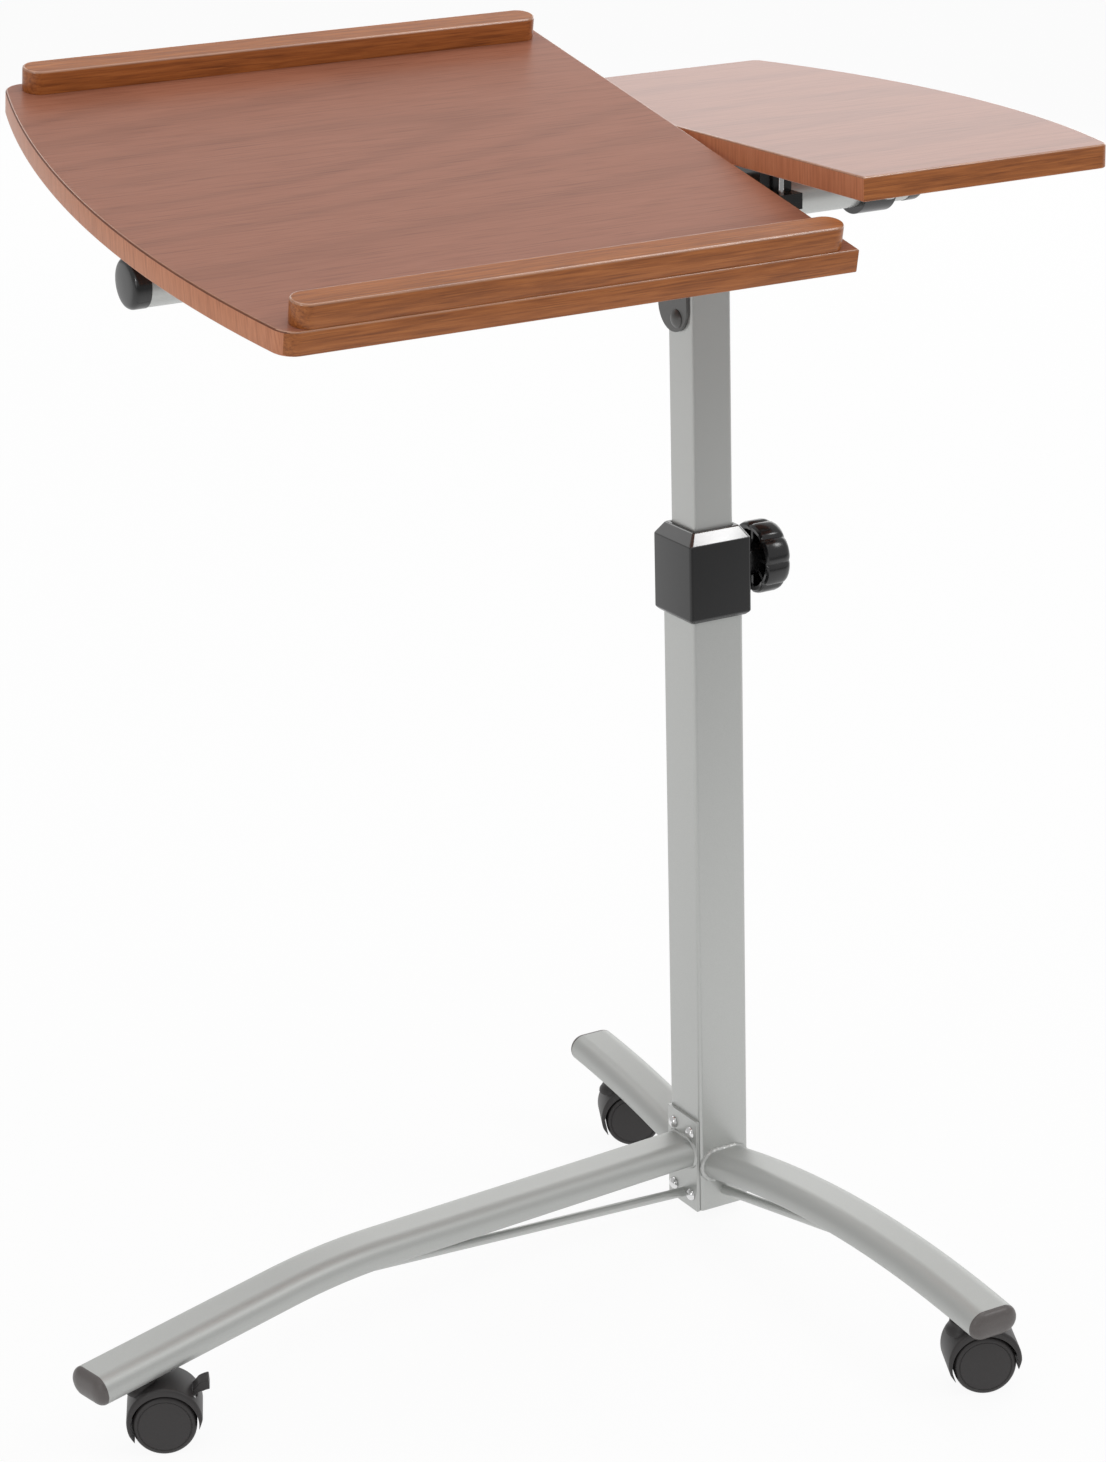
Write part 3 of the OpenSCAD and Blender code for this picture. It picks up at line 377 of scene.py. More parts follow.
class Shape:
    """Collects closed skins, in millimetres, into one mesh."""

    def __init__(self):
        self.points = []
        self.faces = []

    def loft(self, rings, loop=False):
        """A skin through rings of equal length. It is closed by end faces, or joined end to start as a loop."""
        start = len(self.points)
        count = len(rings[0])
        for ring in rings:
            self.points.extend(Vector(p) for p in ring)
        steps = len(rings) if loop else len(rings) - 1
        for i in range(steps):
            a = start + i * count
            b = start + ((i + 1) % len(rings)) * count
            for j in range(count):
                k = (j + 1) % count
                self.faces.append((a + j, a + k, b + k, b + j))
        if not loop:
            last = start + (len(rings) - 1) * count
            self.faces.append(tuple(start + j for j in reversed(range(count))))
            self.faces.append(tuple(last + j for j in range(count)))
        return self

    def lathe(self, profile, place, steps):
        """A closed skin turned from (radius, height) points round the place's Z axis."""
        return self.loft(turned_rings(profile, place, steps))

    def build(self, name, body, slot_name, nodes=(), tilt=False, degrees=35):
        """Makes the object, with its faces turned outwards."""
        mesh = bpy.data.meshes.new(name)
        turn = TILTED if tilt else Matrix()
        mesh.from_pydata([(turn @ p) * MM for p in self.points], [], self.faces)
        work = bmesh.new()
        work.from_mesh(mesh)
        bmesh.ops.remove_doubles(work, verts=work.verts, dist=MERGE_GAP)
        bmesh.ops.recalc_face_normals(work, faces=work.faces)
        work.to_mesh(mesh)
        work.free()
        obj = add_object(name, mesh, body, slot_name, nodes)
        smooth_by_angle(obj, degrees)
        return obj


def square_ring(width, radius, steps=8):
    """A square with rounded corners, counter-clockwise."""
    reach = width / 2 - radius
    points = []
    for i, (sx, sy) in enumerate(((1, 1), (-1, 1), (-1, -1), (1, -1))):
        points += arc((sx * reach, sy * reach), radius, math.pi / 2 * i, math.pi / 2 * (i + 1), steps)
    return points


def oval_ring(width, height, steps=20):
    """A flat shape whose ends are half circles, counter-clockwise. Its straight sides have a point near each end,
    which keeps their shading even."""
    reach = (width - height) / 2
    radius = height / 2
    border = reach - OVAL_BORDER
    return (arc((reach, 0), radius, -math.pi / 2, math.pi / 2, steps) + [(border, radius), (-border, radius)]
            + arc((-reach, 0), radius, math.pi / 2, 3 * math.pi / 2, steps) + [(-border, -radius), (border, -radius)])


def inset_ring(points, amount):
    """Moves a counter-clockwise outline inwards by an amount, with mitred corners."""
    count = len(points)
    result = []
    for i in range(count):
        before, here, after = (Vector(points[(i + k) % count]) for k in (-1, 0, 1))
        a = here - before
        b = after - here
        if a.length < 1e-6:
            a = b
        if b.length < 1e-6:
            b = a
        na = Vector((a.y, -a.x)).normalized()
        nb = Vector((b.y, -b.x)).normalized()
        move = (na + nb) / max(0.3, 1 + na.dot(nb))
        result.append(tuple(here - move * amount))
    return result


def rounding_steps(radius, steps=4):
    """(inset, height) pairs over a rounded edge, from the side face up to the top face."""
    return [(radius * (1 - math.cos(math.pi / 2 * i / steps)), radius * math.sin(math.pi / 2 * i / steps))
            for i in range(steps + 1)]


def slab_rings(outline, z0, z1, rounding):
    """Rings of a flat slab whose lower and upper edges are rounded. A narrow flat border keeps its shading even."""
    low, high = rounding
    path = [(low + SLAB_BORDER, z0)] + [(inset, z0 + low - h) for inset, h in reversed(rounding_steps(low))]
    path += [(inset, z1 - high + h) for inset, h in rounding_steps(high)] + [(high + SLAB_BORDER, z1)]
    return [[(x, y, z) for x, y in inset_ring(outline, inset)] for inset, z in path]


# ---------------------------------------------------------------- boards

# Upward share of a face's normal: above FLAT_Z it is a flat face, above BEVEL_Z the rounding of an upper edge
FLAT_Z, BEVEL_Z = 0.985, 0.15


def board_outline(width, corner):
    """Outline of a board whose end bulges towards +X, counter-clockwise from its square front corner."""
    bulge_r = (BOARD_D ** 2 / 4 + END_BULGE ** 2) / (2 * END_BULGE)
    mid_y = FRONT_Y + BOARD_D / 2
    centre_x = width + END_BULGE - bulge_r
    corner_y = BOARD_D / 2 - corner
    corner_x = centre_x + math.sqrt((bulge_r - corner) ** 2 - corner_y ** 2)
    lean = math.atan2(corner_y, corner_x - centre_x)
    points = [(0, -BOARD_D / 2)]
    points += arc((corner_x, -corner_y), corner, -math.pi / 2, -lean, 10)
    points += arc((centre_x, 0), bulge_r, -lean, lean, 40)[1:-1]
    points += arc((corner_x, corner_y), corner, lean, math.pi / 2, 10)
    points += [(0, BOARD_D / 2)]
    return [(x, y + mid_y) for x, y in points]


def finish_board(obj, tilt):
    """The board's faces get the laminate, its straight edges wood along X and its ends wood across. The rounding
    of its upper edges is a polished line, painted a little lighter as a painted highlight. At the curved end of
    the tilted board it is painted shade instead, a dark line."""
    for name in ("edge_wood", "edge_side", "edge_bevel", "edge_seam"):
        obj.data.materials.append(MATERIALS[name])
    face, edge, end, bevel, shaded_rim = range(5)
    level = Matrix.Rotation(-tilt, 3, "X")
    for polygon in obj.data.polygons:
        normal = level @ polygon.normal
        if abs(normal.z) > FLAT_Z:
            polygon.material_index = face
        elif normal.z > BEVEL_Z:
            # upper edge rounding: a painted highlight, or painted shade at the tilted board's curved end
            polygon.material_index = bevel if normal.x > -0.5 or not tilt else shaded_rim
        else:
            polygon.material_index = edge if abs(normal.y) > 0.75 else end


def add_boards():
    """The laptop board, the side board and the two ledges."""
    laptop = [(LAPTOP_X1 - x, y) for x, y in reversed(board_outline(LAPTOP_W, LAPTOP_CORNER))]
    side = [(SIDE_X0 + x, y) for x, y in board_outline(SIDE_W, SIDE_CORNER)]
    for name, body, cad_node, outline, tilt in (("laptop_panel", "panel", "laptop_board", laptop, TILT),
                                                ("side_panel", "mast", "side_board", side, 0)):
        shape = Shape().loft(slab_rings(outline, BOARD_TOP - BOARD_T, BOARD_TOP, BOARD_ROUNDING))
        finish_board(shape.build(name, body, "board_top", [cad_node], tilt=bool(tilt)), tilt)
    level = Matrix.Rotation(-TILT, 3, "X")
    for cad_node, y in LEDGE_YS.items():
        outline = [(LEDGE_MID + u, y + v) for u, v in oval_ring(LEDGE_L, LEDGE_D, 16)]
        shape = Shape().loft(slab_rings(outline, BOARD_TOP, BOARD_TOP + LEDGE_H, LEDGE_ROUNDING))
        rail = shape.build("rail_" + cad_node, "panel", "edge_wood", [cad_node], tilt=True)
        # the rails' edge rounding gets the lighter, glossy wood: a painted highlight
        rail.data.materials.append(MATERIALS["edge_bevel"])
        for polygon in rail.data.polygons:
            if BEVEL_Z < (level @ polygon.normal).z < FLAT_Z:
                polygon.material_index = 1


# ---------------------------------------------------------------- column

def add_column():
    """The two square tubes, with rounded rims."""
    rim = TUBE_ROUNDING
    for name, body, cad_node, width, radius, z0, z1 in (
            ("column_outer", "base", "outer_column", OUTER_W, OUTER_R, OUTER_Z0, OUTER_Z1),
            ("column_inner", "mast", "inner_column", INNER_W, INNER_R, INNER_Z0, INNER_Z1)):
        path = [(rim, z0), (0, z0 + rim), (0, z1 - rim), (rim, z1), (WALL, z1), (WALL, z0)]
        outline = square_ring(width, radius)
        rings = [[(x, y, z) for x, y in inset_ring(outline, inset)] for inset, z in path]
        Shape().loft(rings, loop=True).build(name, body, "silver_coat", [cad_node])


def add_collar():
    """Outer skin with its chamfers, the mouth round the inner column and the sleeve round the outer one."""
    sleeve = OUTER_W / 2 + SEAT
    mouth = INNER_W / 2 + RUN
    path = [(sleeve, COLLAR_Z0), (COLLAR_HALF - COLLAR_FOOT, COLLAR_Z0), (COLLAR_HALF, COLLAR_Z0 + COLLAR_FOOT),
            (COLLAR_HALF, COLLAR_Z1 - COLLAR_CHAMFER), (COLLAR_HALF - COLLAR_SLANT, COLLAR_Z1),
            (mouth, COLLAR_Z1), (mouth, OUTER_Z1 + SEAT), (sleeve, OUTER_Z1 + SEAT)]
    outline = square_ring(2 * COLLAR_HALF, 2.2)
    rings = []
    for half, z in path:
        scale = half / COLLAR_HALF
        rings.append([(x * scale, y * scale, z) for x, y in outline])
    obj = Shape().loft(rings, loop=True).build("collar_sleeve", "base", "black_gloss", ["collar"], degrees=30)
    # the sloped faces get the lighter plastic: a painted highlight
    obj.data.materials.append(MATERIALS["collar_slope"])
    for polygon in obj.data.polygons:
        if 0.3 < polygon.normal.z < 0.8:
            polygon.material_index = 1
    add_rounding(obj, 1.1, 3, 28)


def lobed_ring(radius, depth, lobes, height, steps_per_lobe=16):
    """A circle with a narrow flute between each two lobes."""
    points = []
    for a in angles(lobes * steps_per_lobe):
        flute = 1 / (1 + (math.sin(a * lobes / 2) / 0.3) ** 2)
        r = radius - depth * flute
        points.append((r * math.cos(a), r * math.sin(a), height))
    return points


def star_knob(place, radius, thickness, hub_r, hub_l, lobes):
    """A lobed knob with a recessed, ribbed back and a hub, along the place's Z axis."""
    shape = Shape()
    t, r = thickness, radius
    recess = 0.45 * t
    path = [(hub_r * 0.98, recess, 0), (0.76 * r, recess, 0), (0.80 * r, 0.02 * t, 0.02), (0.90 * r, 0, 0.06),
            (0.97 * r, 0.05 * t, 0.075), (r, 0.14 * t, 0.08), (r, 0.66 * t, 0.08), (0.975 * r, 0.79 * t, 0.078),
            (0.92 * r, 0.89 * t, 0.07), (0.83 * r, 0.96 * t, 0.05), (0.7 * r, 0.995 * t, 0.02),
            (0.5 * r, 0.97 * t, 0), (0.2 * r, 0.955 * t, 0)]
    shape.loft([[place @ Vector(p) for p in lobed_ring(rr, depth * r, lobes, h)] for rr, h, depth in path])
    shape.lathe([(hub_r - 0.6, -hub_l), (hub_r, -hub_l + 0.6), (hub_r, recess + 0.5)], place, 48)
    half = 0.045 * r
    for a in angles(lobes):
        turn = place @ Matrix.Rotation(a, 4, "Z")
        corners = [(hub_r - 1, -half), (0.8 * r, -half), (0.8 * r, half), (hub_r - 1, half)]
        shape.loft([[turn @ Vector((x, y, z)) for x, y in corners] for z in (0.12 * t, recess + 0.5)])
    return shape


def add_knobs():
    """The height knob on the collar and the two tilt knobs under the laptop board."""
    place = Matrix.Translation((KNOB_X, 0, KNOB_Z)) @ Matrix.Rotation(math.pi / 2, 4, "Y")
    shape = star_knob(place, KNOB_R, KNOB_T, KNOB_HUB_R, KNOB_HUB_L, KNOB_LOBES)
    shape.build("height_star_knob", "height_lock", "black_gloss", ["height_knob"])
    for side, x in TILT_KNOB_XS.items():
        place = Matrix.Translation((x, TILT_KNOB_Y, TILT_KNOB_Z)) @ Matrix.Rotation(math.pi, 4, "X")
        shape = star_knob(place, TILT_KNOB_R, TILT_KNOB_T, TILT_HUB_R, TILT_HUB_L, TILT_KNOB_LOBES)
        shape.build(side + "_star_knob", side + "_tilt_lock", "black_gloss", [side + "_tilt_knob"], tilt=True)


def add_cross_tube():
    """The round tube under the boards with its domed end caps."""
    place = Matrix.Translation((CROSS_X0, 0, CROSS_Z)) @ Matrix.Rotation(math.pi / 2, 4, "Y")
    length = CROSS_X1 - CROSS_X0
    tube = [(CROSS_R - 0.3, 0), (CROSS_R, 0.3), (CROSS_R, length - 0.3), (CROSS_R - 0.3, length),
            (CROSS_R - WALL, length), (CROSS_R - WALL, 0)]
    rings = turned_rings(tube, place, 96)
    Shape().loft(rings, loop=True).build("round_tube", "mast", "silver_coat", ["cross_tube"])
    skirt = CROSS_R + 0.35
    shoulder = 4.2
    cap = [(13.9, -14), (13.9, -SEAT), (CROSS_R + SEAT, -SEAT), (CROSS_R + SEAT, -6), (skirt - 0.15, -6),
           (skirt, -5.8)]
    cap += [(skirt - shoulder + shoulder * math.cos(a), 1.2 + shoulder * math.sin(a))
            for a in (math.radians(10 * k) for k in range(9))]
    cap += [(9.5, 5.65), (6, 5.85), (2.5, 5.97), (0.6, 6.0)]
    for name, x, way in (("left_tube_cap", CROSS_X0, -1), ("right_tube_cap", CROSS_X1, 1)):
        place = Matrix.Translation((x, 0, CROSS_Z)) @ Matrix.Rotation(way * math.pi / 2, 4, "Y")
        Shape().lathe(cap, place, 96).build("domed_" + name, "mast", "black_gloss", [name])


# ---------------------------------------------------------------- base

def arch_height(y):
    """Height of the arch's middle line at a distance from the column's axis."""
    return ARCH_Z - ARCH_R + math.sqrt(ARCH_R ** 2 - (y - ARCH_Y) ** 2)


def arch_stations(reach, way, steps=44):
    """(centre, tangent, up, side) along an arm of the arch, from the column to its end. way is 1 or -1 along Y."""
    stations = []
    for i in range(steps + 1):
        y = OUTER_W / 2 + (reach - OUTER_W / 2) * i / steps
        slope = math.atan2(ARCH_Y - y, arch_height(y) - ARCH_Z + ARCH_R)
        tangent = Vector((0, way * math.cos(slope), math.sin(slope)))
        up = Vector((0, -way * math.sin(slope), math.cos(slope)))
        stations.append((Vector((0, way * y, arch_height(y))), tangent, up, Vector((way, 0, 0))))
    return stations


def leg_ahead():
    """The side leg's direction in plan."""
    return Vector((math.cos(LEG_TURN), math.sin(LEG_TURN), 0))


def leg_stations():
    """(centre, tangent, up, side) along the side leg, from its plate over the knee to its end."""
    rise = math.atan((KNEE_Z - LEG_Z0) / KNEE_S)
    fall = -math.atan((KNEE_Z - LEG_Z1) / (LEG_L - KNEE_S))
    cut = KNEE_R * math.tan((rise - fall) / 2)
    bend_s = KNEE_S - cut * math.cos(rise) + KNEE_R * math.sin(rise)
    bend_z = KNEE_Z - cut * math.sin(rise) - KNEE_R * math.cos(rise)
    path = [(s, LEG_Z0 + s * math.tan(rise), rise) for s in (0, 60, 120, 180, 230)]
    bend_steps = 24
    for i in range(bend_steps + 1):
        a = rise + (fall - rise) * i / bend_steps
        path.append((bend_s - KNEE_R * math.sin(a), bend_z + KNEE_R * math.cos(a), a))
    path += [(s, LEG_Z1 - (LEG_L - s) * math.tan(fall), fall) for s in (380, 420, 460, LEG_L)]
    ahead = leg_ahead()
    side = Vector((-ahead.y, ahead.x, 0))
    stations = []
    for s, z, a in path:
        centre = Vector((PLATE_X, 0, z)) + s * ahead
        stations.append((centre, ahead * math.cos(a) + Vector((0, 0, math.sin(a))),
                         -ahead * math.sin(a) + Vector((0, 0, math.cos(a))), side))
    return stations


def section_ring(station, section, along=0.0):
    """The outline of an arm at a station, moved along the arm."""
    centre, tangent, up, side = station
    return [centre + tangent * along + side * u + up * v for u, v in section]


def arm_rings(stations, section, cut_point, cut_normal):
    """Rings of an arm. The first is slid along the arm on to the face that it is joined to."""
    rings = [section_ring(station, section) for station in stations]
    tangent = stations[0][1]
    rings[0] = [p + tangent * ((cut_point - p).dot(cut_normal) / tangent.dot(cut_normal)) for p in rings[0]]
    return rings


def arm_cap(station, section):
    """A domed end cap on the last station of an arm."""
    profile = [(1.8, -10), (1.8, 0.02), (0, 0.02), (0, 0.5), (0.2, 1.3), (0.7, 2.4), (1.5, 3.4), (2.6, 4.3),
               (4.0, 5.0), (5.7, 5.5), (7.4, 5.8), (8.8, 5.95), (9.6, 6.0)]
    return Shape().loft([section_ring(station, inset_ring(section, inset), along) for inset, along in profile])


def bead(points, normal, radius):
    """A weld bead: a rippled round cord along a closed line of points."""
    count = len(points)
    rings = []
    for i, p in enumerate(points):
        ahead = (points[(i + 1) % count] - points[i - 1]).normalized()
        out = ahead.cross(normal).normalized()
        r = radius * (1 + 0.12 * math.sin(i * 2.1) + 0.06 * math.sin(i * 0.9 + 1))
        rings.append([p + out * (r * math.cos(a)) + normal * (r * math.sin(a)) for a in angles(10)])
    return Shape().loft(rings, loop=True)


def dense(points, spacing):
    """Points at an even spacing along a closed line."""
    result = []
    for i, p in enumerate(points):
        q = points[(i + 1) % len(points)]
        steps = max(1, int((q - p).length / spacing))
        result += [p.lerp(q, k / steps) for k in range(steps)]
    return result


def add_arms():
    """The three arms, each with its end cap and the weld bead where it meets the column or the plate."""
    section = [(u, v - ARM_SINK) for u, v in oval_ring(ARM_W, ARM_H)]
    face = OUTER_W / 2
    # name, its end's name, CAD nodes of the tube and the cap, stations, the joined face's point and normal, bead
    arms = (
        ("front_arm", "front_arm_end", "front_arm", "front_end_cap", arch_stations(FRONT_L, -1),
         Vector((0, -face, 0)), Vector((0, -1, 0)), ARM_WELD_R),
        ("back_arm", "back_arm_end", "back_arm", "back_end_cap", arch_stations(BACK_L, 1),
         Vector((0, face, 0)), Vector((0, 1, 0)), ARM_WELD_R),
        ("leg", "leg_tube_end", "side_leg", "leg_end_cap", leg_stations(),
         Vector((PLATE_X, 0, 0)), Vector((-1, 0, 0)), LEG_WELD_R),
    )
    for name, end_name, arm_node, cap_node, stations, point, normal, bead_r in arms:
        rings = arm_rings(stations, section, point, normal)
        tube = Shape().loft(rings).build(name + "_tube", "base", "silver_coat", [arm_node])
        # the arms get the darker copy of the silver: painted shade
        tube.data.materials[0] = MATERIALS["silver_arm"]
        arm_cap(stations[-1], section).build(end_name, "base", "grey_cap", [cap_node])
        bead(dense(rings[0], 1.6), normal, bead_r).build(name + "_weld", "base", "silver_coat")


# ---------------------------------------------------------------- casters

def caster_place(stem):
    """Turns caster space, with X along the trail and Z up, to the caster's place under its stem."""
    return Matrix.Translation(stem) @ Matrix.Rotation(CASTER_TURN, 4, "Z")


def wheel_space(place):
    """Caster space moved to the middle of the axle, with Z along the axle and X along the trail."""
    return place @ Matrix.Translation((TRAIL, 0, WHEEL_R)) @ Matrix.Rotation(math.pi / 2, 4, "X")


def wheel_pair(shape, place):
    """Two wheels with rounded treads, a ring groove near the rim and softly domed faces."""
    profile = [(2.5, WHEEL_IN), (17.4, WHEEL_IN), (18.6, 3.3), (19.5, 4.1), (19.9, 5.2), (WHEEL_R, 6.5),
               (WHEEL_R, 12.2), (19.85, 13.4), (19.4, 14.4), (18.6, 15.1), (17.6, 15.4), (17.0, 15.42),
               (16.75, 15.1), (16.4, 15.1), (16.15, 15.45), (14, 15.66), (10, 15.86), (5, 15.97), (1, WHEEL_OUT)]
    for flip in (0, math.pi):
        shape.lathe(profile, wheel_space(place) @ Matrix.Rotation(flip, 4, "X"), 96)


def hood_outer(a):
    """Radius of the hood's outside at an angle round the axle. Its circle stands a little above the axle."""
    s = HOOD_RISE * math.sin(a)
    return s + math.sqrt(s * s + HOOD_OUT ** 2 - HOOD_RISE ** 2)


def hood_shell(shape, place):
    """The curved shell over both wheels, with rounded shoulders and two downward tips."""
    wheel = wheel_space(place)
    turns = (0, 0.4, 0.8, 1.2, math.pi / 2)
    rings = []
    steps = 60
    for i in range(steps + 1):
        share = i / steps
        a = TIP_FRONT + (TIP_BACK - TIP_FRONT) * share
        taper = min(1, share * 14 + 0.12, (1 - share) * 14 + 0.12)
        outer = HOOD_IN + (hood_outer(a) - HOOD_IN) * taper
        shoulder = min(2.2, outer - HOOD_IN - 0.1)
        curve = [(outer - shoulder + shoulder * math.sin(t), HOOD_HALF - shoulder * (1 - math.cos(t))) for t in turns]
        section = [(HOOD_IN, -HOOD_HALF)] + [(r, -w) for r, w in curve] + curve[::-1] + [(HOOD_IN, HOOD_HALF)]
        rings.append([wheel @ Vector((r * math.cos(a), r * math.sin(a), w)) for r, w in section])
    shape.loft(rings)


def hood_web(shape, place):
    """The web between the wheels, which carries the axle."""
    wheel = wheel_space(place)
    outline = arc((0, 0), HOOD_IN + 0.4, math.radians(-2), math.radians(182), 48)
    outline += arc((0, 0), 6, math.radians(200), math.radians(340), 16)
    shape.loft([[wheel @ Vector((x, y, w)) for x, y in outline] for w in (-2.5, 2.5)])


def hood_boss(shape, place):
    """The stem's boss, flared where it joins the shell."""
    profile = [(4.05, 38.2), (11.4, 38.2), (11.2, 40), (10.2, 41.6), (9.2, 43), (8.6, 44.4), (8.5, 45.8),
               (8.2, 46.3), (7.6, BOSS_Z), (4.6, BOSS_Z), (4.05, 46)]
    shape.loft(turned_rings(profile, place, 64), loop=True)


def lever_tab(shape, place):
    """The brake's tab: a curved band that narrows at its neck and ends in a cut tip, and its eye on the pin."""
    wheel = wheel_space(place)
    pin = Vector((LEVER_PIN_D * math.cos(LEVER_ANGLE), LEVER_PIN_D * math.sin(LEVER_ANGLE), 0))
    upper, lower = [], []
    point = pin - Vector((1, 1, 0))
    steps = 12
    for i in range(steps + 1):
        share = i / steps
        heading = math.radians(58 - 54 * share)
        half = 2.9 - 1.1 * math.sin(math.pi * min(1, share * 1.7)) + 0.5 * max(0, share - 0.6)
        across = Vector((-math.sin(heading), math.cos(heading), 0))
        upper.append(point + across * half)
        lower.append(point - across * half)
        point += Vector((math.cos(heading), math.sin(heading), 0)) * 1.13
    outline = lower + list(reversed(upper))
    shape.loft([[wheel @ (p + Vector((0, 0, w))) for p in outline] for w in (-6, 6)])
    shape.lathe([(0.8, -5.9), (2.9, -5.9), (2.9, 5.9), (0.8, 5.9)], wheel @ Matrix.Translation(pin), 32)


def add_casters():
    """Three casters, the leg's with a brake tab."""
    stems = {"front": Vector((0, -FRONT_STEM, 0)), "back": Vector((0, BACK_STEM, 0)),
             "leg": Vector((PLATE_X, 0, 0)) + leg_ahead() * LEG_STEM}
    for name, stem in stems.items():
        place = caster_place(stem)
        wheels = Shape()
        wheel_pair(wheels, place)
        wheels.build(name + "_twin_wheels", name + "_wheel", "caster_black", [name + "_wheels"])
        hood = Shape()
        hood_shell(hood, place)
        hood_web(hood, place)
        hood_boss(hood, place)
        hood.build(name + "_caster_hood", name + "_caster", "caster_black", [name + "_hood"])
    lever = Shape()
    lever_tab(lever, caster_place(stems["leg"]))
    add_rounding(lever.build("brake_tab", "leg_brake", "caster_black", ["leg_brake_lever"]), 0.6, 2)


# ---------------------------------------------------------------- small parts, from their solids

REPLACED = {"laptop_board", "side_board", "front_ledge", "back_ledge", "outer_column", "inner_column", "collar",
            "height_knob", "left_tilt_knob", "right_tilt_knob", "cross_tube", "left_tube_cap", "right_tube_cap",
            "front_arm", "back_arm", "side_leg", "front_end_cap", "back_end_cap", "leg_end_cap", "leg_brake_lever",
            "front_wheels", "back_wheels", "leg_wheels", "front_hood", "back_hood", "leg_hood"}
ROUNDINGS = {"head_bracket": 0.7, "tilt_clamp_blocks": 0.9, "tilt_clamp_straps": 0.9, "side_clamp_blocks": 0.9,
             "side_clamp_straps": 0.9, "leg_plate": 0.9, "front_tie_rod": 0, "leg_tie_rod": 0}
# the head bracket and its bolt are painted dark: painted shade
PAINTED_SHADE_PARTS = ("head_bracket", "head_bolt")


def add_small_parts():
    """Every node that has no piece of its own in the scene, dressed from its solid."""
    for name in sorted(set(BODY_OF) - REPLACED):
        obj = dressed(name, ROUNDINGS.get(name, SMALL_ROUNDING))
        if name in PAINTED_SHADE_PARTS:
            obj.data.materials[0] = MATERIALS["bracket_dark"]


# ---------------------------------------------------------------- studio

FLOOR_SIZE = 30.0
FLOOR_GREY_Y, FLOOR_WHITE_Y = -1.57, -0.5
FLOOR_GREY, FLOOR_WHITE, FLOOR_GLOW = 0.3, 0.92, 0.93
AMBIENT = 0.55
CENTRE = (-0.1, 0, 0.45)
# name, place, what it is aimed at, width, height, brightness
LAMPS = (
    ("overhead", (-0.3, -0.3, 3.2), CENTRE, 3.0, 3.0, 0.8),
    ("back_low", (2.8, 2.75, 1.35), CENTRE, 5.6, 2.0, 1.15),
    ("glint", (1.52, -1.69, 2.45), (0, 0, 0.5), 0.7, 0.7, 7.0),
    ("streak_right", (1.1, 0.25, 2.7), (-0.1, 0, 0.3), 1.0, 0.4, 4.0),
    ("streak_back", (-0.2, 2.1, 2.2), (0, -0.2, 0.1), 0.9, 0.9, 1.0),
    ("front_left", (-3.0, -1.8, 0.9), CENTRE, 1.0, 1.0, 1.2),
    ("spark", (-2.39, -1.39, 1.40), (-0.395, 0, 0.707), 0.3, 0.3, 12.0),
)


def floor_material():
    """A pale floor, white to the camera, that keeps the object's shadow. In reflections it is white behind the
    object and greyer in front of it, as in a studio that is lit from behind."""
    mat, tree, shader = new_material("floor")
    vector = stretched_coords(tree, (1, 1, 1))
    tint = ramp(tree, noise(tree, vector, 3.0), [(0.3, (0.9, 0.9, 0.9)), (0.7, (0.92, 0.92, 0.92))])
    tree.links.new(tint, shader.inputs["Base Color"])
    shader.inputs["Roughness"].default_value = 0.9
    path = tree.nodes.new("ShaderNodeLightPath")
    split = tree.nodes.new("ShaderNodeSeparateXYZ")
    tree.links.new(vector, split.inputs[0])
    behind = map_range(tree, split.outputs["Y"], FLOOR_GREY_Y, FLOOR_WHITE_Y, FLOOR_GREY, FLOOR_WHITE)
    camera_ray = path.outputs["Is Camera Ray"]
    strength = math_node(tree, "MAXIMUM", camera_ray, behind)
    glow = tree.nodes.new("ShaderNodeEmission")
    tree.links.new(strength, glow.inputs["Strength"])
    other = math_node(tree, "ADD", path.outputs["Is Glossy Ray"], path.outputs["Is Transmission Ray"], True)
    share = math_node(tree, "MAXIMUM", math_node(tree, "MULTIPLY", camera_ray, FLOOR_GLOW), other)
    blend = tree.nodes.new("ShaderNodeMixShader")
    tree.links.new(share, blend.inputs["Fac"])
    tree.links.new(shader.outputs[0], blend.inputs[1])
    tree.links.new(glow.outputs[0], blend.inputs[2])
    tree.links.new(blend.outputs[0], tree.nodes["Material Output"].inputs["Surface"])
    return mat


def add_floor():
    """The floor, a part of the stage."""
    bpy.ops.mesh.primitive_plane_add(size=FLOOR_SIZE)
    floor = bpy.context.object
    floor.name = "floor"
    floor.data.materials.append(floor_material())


def set_world():
    """Soft ambient light. The camera sees the world as white."""
    world = bpy.data.worlds.new("studio")
    bpy.context.scene.world = world
    world.use_nodes = True
    tree = world.node_tree
    background = tree.nodes["Background"]
    background.inputs["Color"].default_value = (1, 1, 1, 1)
    path = tree.nodes.new("ShaderNodeLightPath")
    strength = map_range(tree, path.outputs["Is Camera Ray"], 0, 1, AMBIENT, 1.0)
    tree.links.new(strength, background.inputs["Strength"])


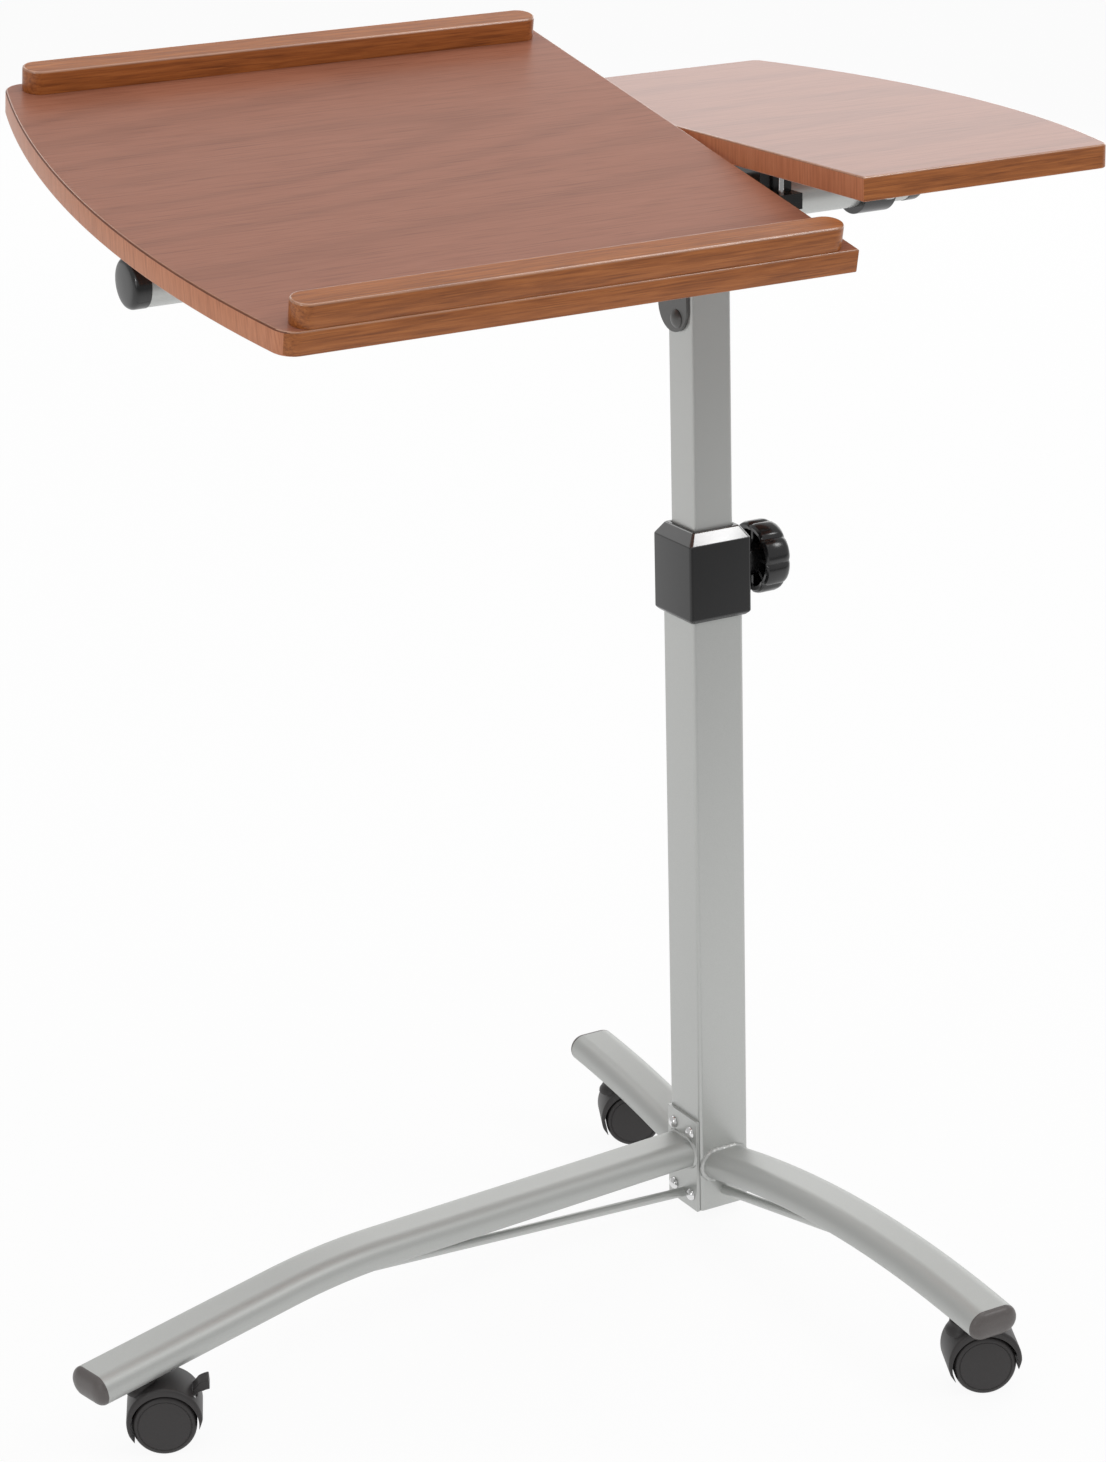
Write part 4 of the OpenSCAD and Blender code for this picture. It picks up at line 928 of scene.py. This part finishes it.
def add_lamp(name, at, towards, width, height, radiance):
    """A rectangular lamp of the given brightness, aimed at a point."""
    lamp = bpy.data.lights.new(name, "AREA")
    lamp.shape = "RECTANGLE"
    lamp.size = width
    lamp.size_y = height
    lamp.energy = radiance * math.pi * width * height
    obj = bpy.data.objects.new(name, lamp)
    bpy.context.scene.collection.objects.link(obj)
    obj.location = at
    obj.rotation_euler = (Vector(towards) - Vector(at)).to_track_quat("-Z", "Y").to_euler()
    obj.visible_camera = False


def add_camera():
    """The photograph's camera, set from its place, direction, focal length and optical centre."""
    yaw, pitch, roll = CAM_YAW, CAM_PITCH, CAM_ROLL
    right = Vector((math.cos(yaw), math.sin(yaw), 0))
    forward = Vector((-math.sin(yaw) * math.cos(pitch), math.cos(yaw) * math.cos(pitch), math.sin(pitch)))
    up = right.cross(forward)
    x_axis = math.cos(roll) * right + math.sin(roll) * up
    y_axis = -math.sin(roll) * right + math.cos(roll) * up
    data = bpy.data.cameras.new("photo_camera")
    data.sensor_fit = "HORIZONTAL"
    data.sensor_width = SENSOR_W
    data.lens = CAM_FOCAL_PX * SENSOR_W / PHOTO_W
    data.shift_x = (PHOTO_W / 2 - CAM_CENTRE_PX[0]) / PHOTO_W
    data.shift_y = (CAM_CENTRE_PX[1] - PHOTO_H / 2) / PHOTO_W
    data.clip_end = 100
    camera = bpy.data.objects.new("photo_camera", data)
    bpy.context.scene.collection.objects.link(camera)
    camera.matrix_world = Matrix((
        (x_axis.x, y_axis.x, -forward.x, CAM_AT[0]),
        (x_axis.y, y_axis.y, -forward.y, CAM_AT[1]),
        (x_axis.z, y_axis.z, -forward.z, CAM_AT[2]),
        (0, 0, 0, 1),
    ))
    bpy.context.scene.camera = camera


# ---------------------------------------------------------------- the scene

add_boards()
add_column()
add_collar()
add_knobs()
add_cross_tube()
add_arms()
add_casters()
add_small_parts()

add_floor()
set_world()
for lamp_values in LAMPS:
    add_lamp(*lamp_values)
add_camera()
bpy.context.scene.view_settings.view_transform = "Standard"
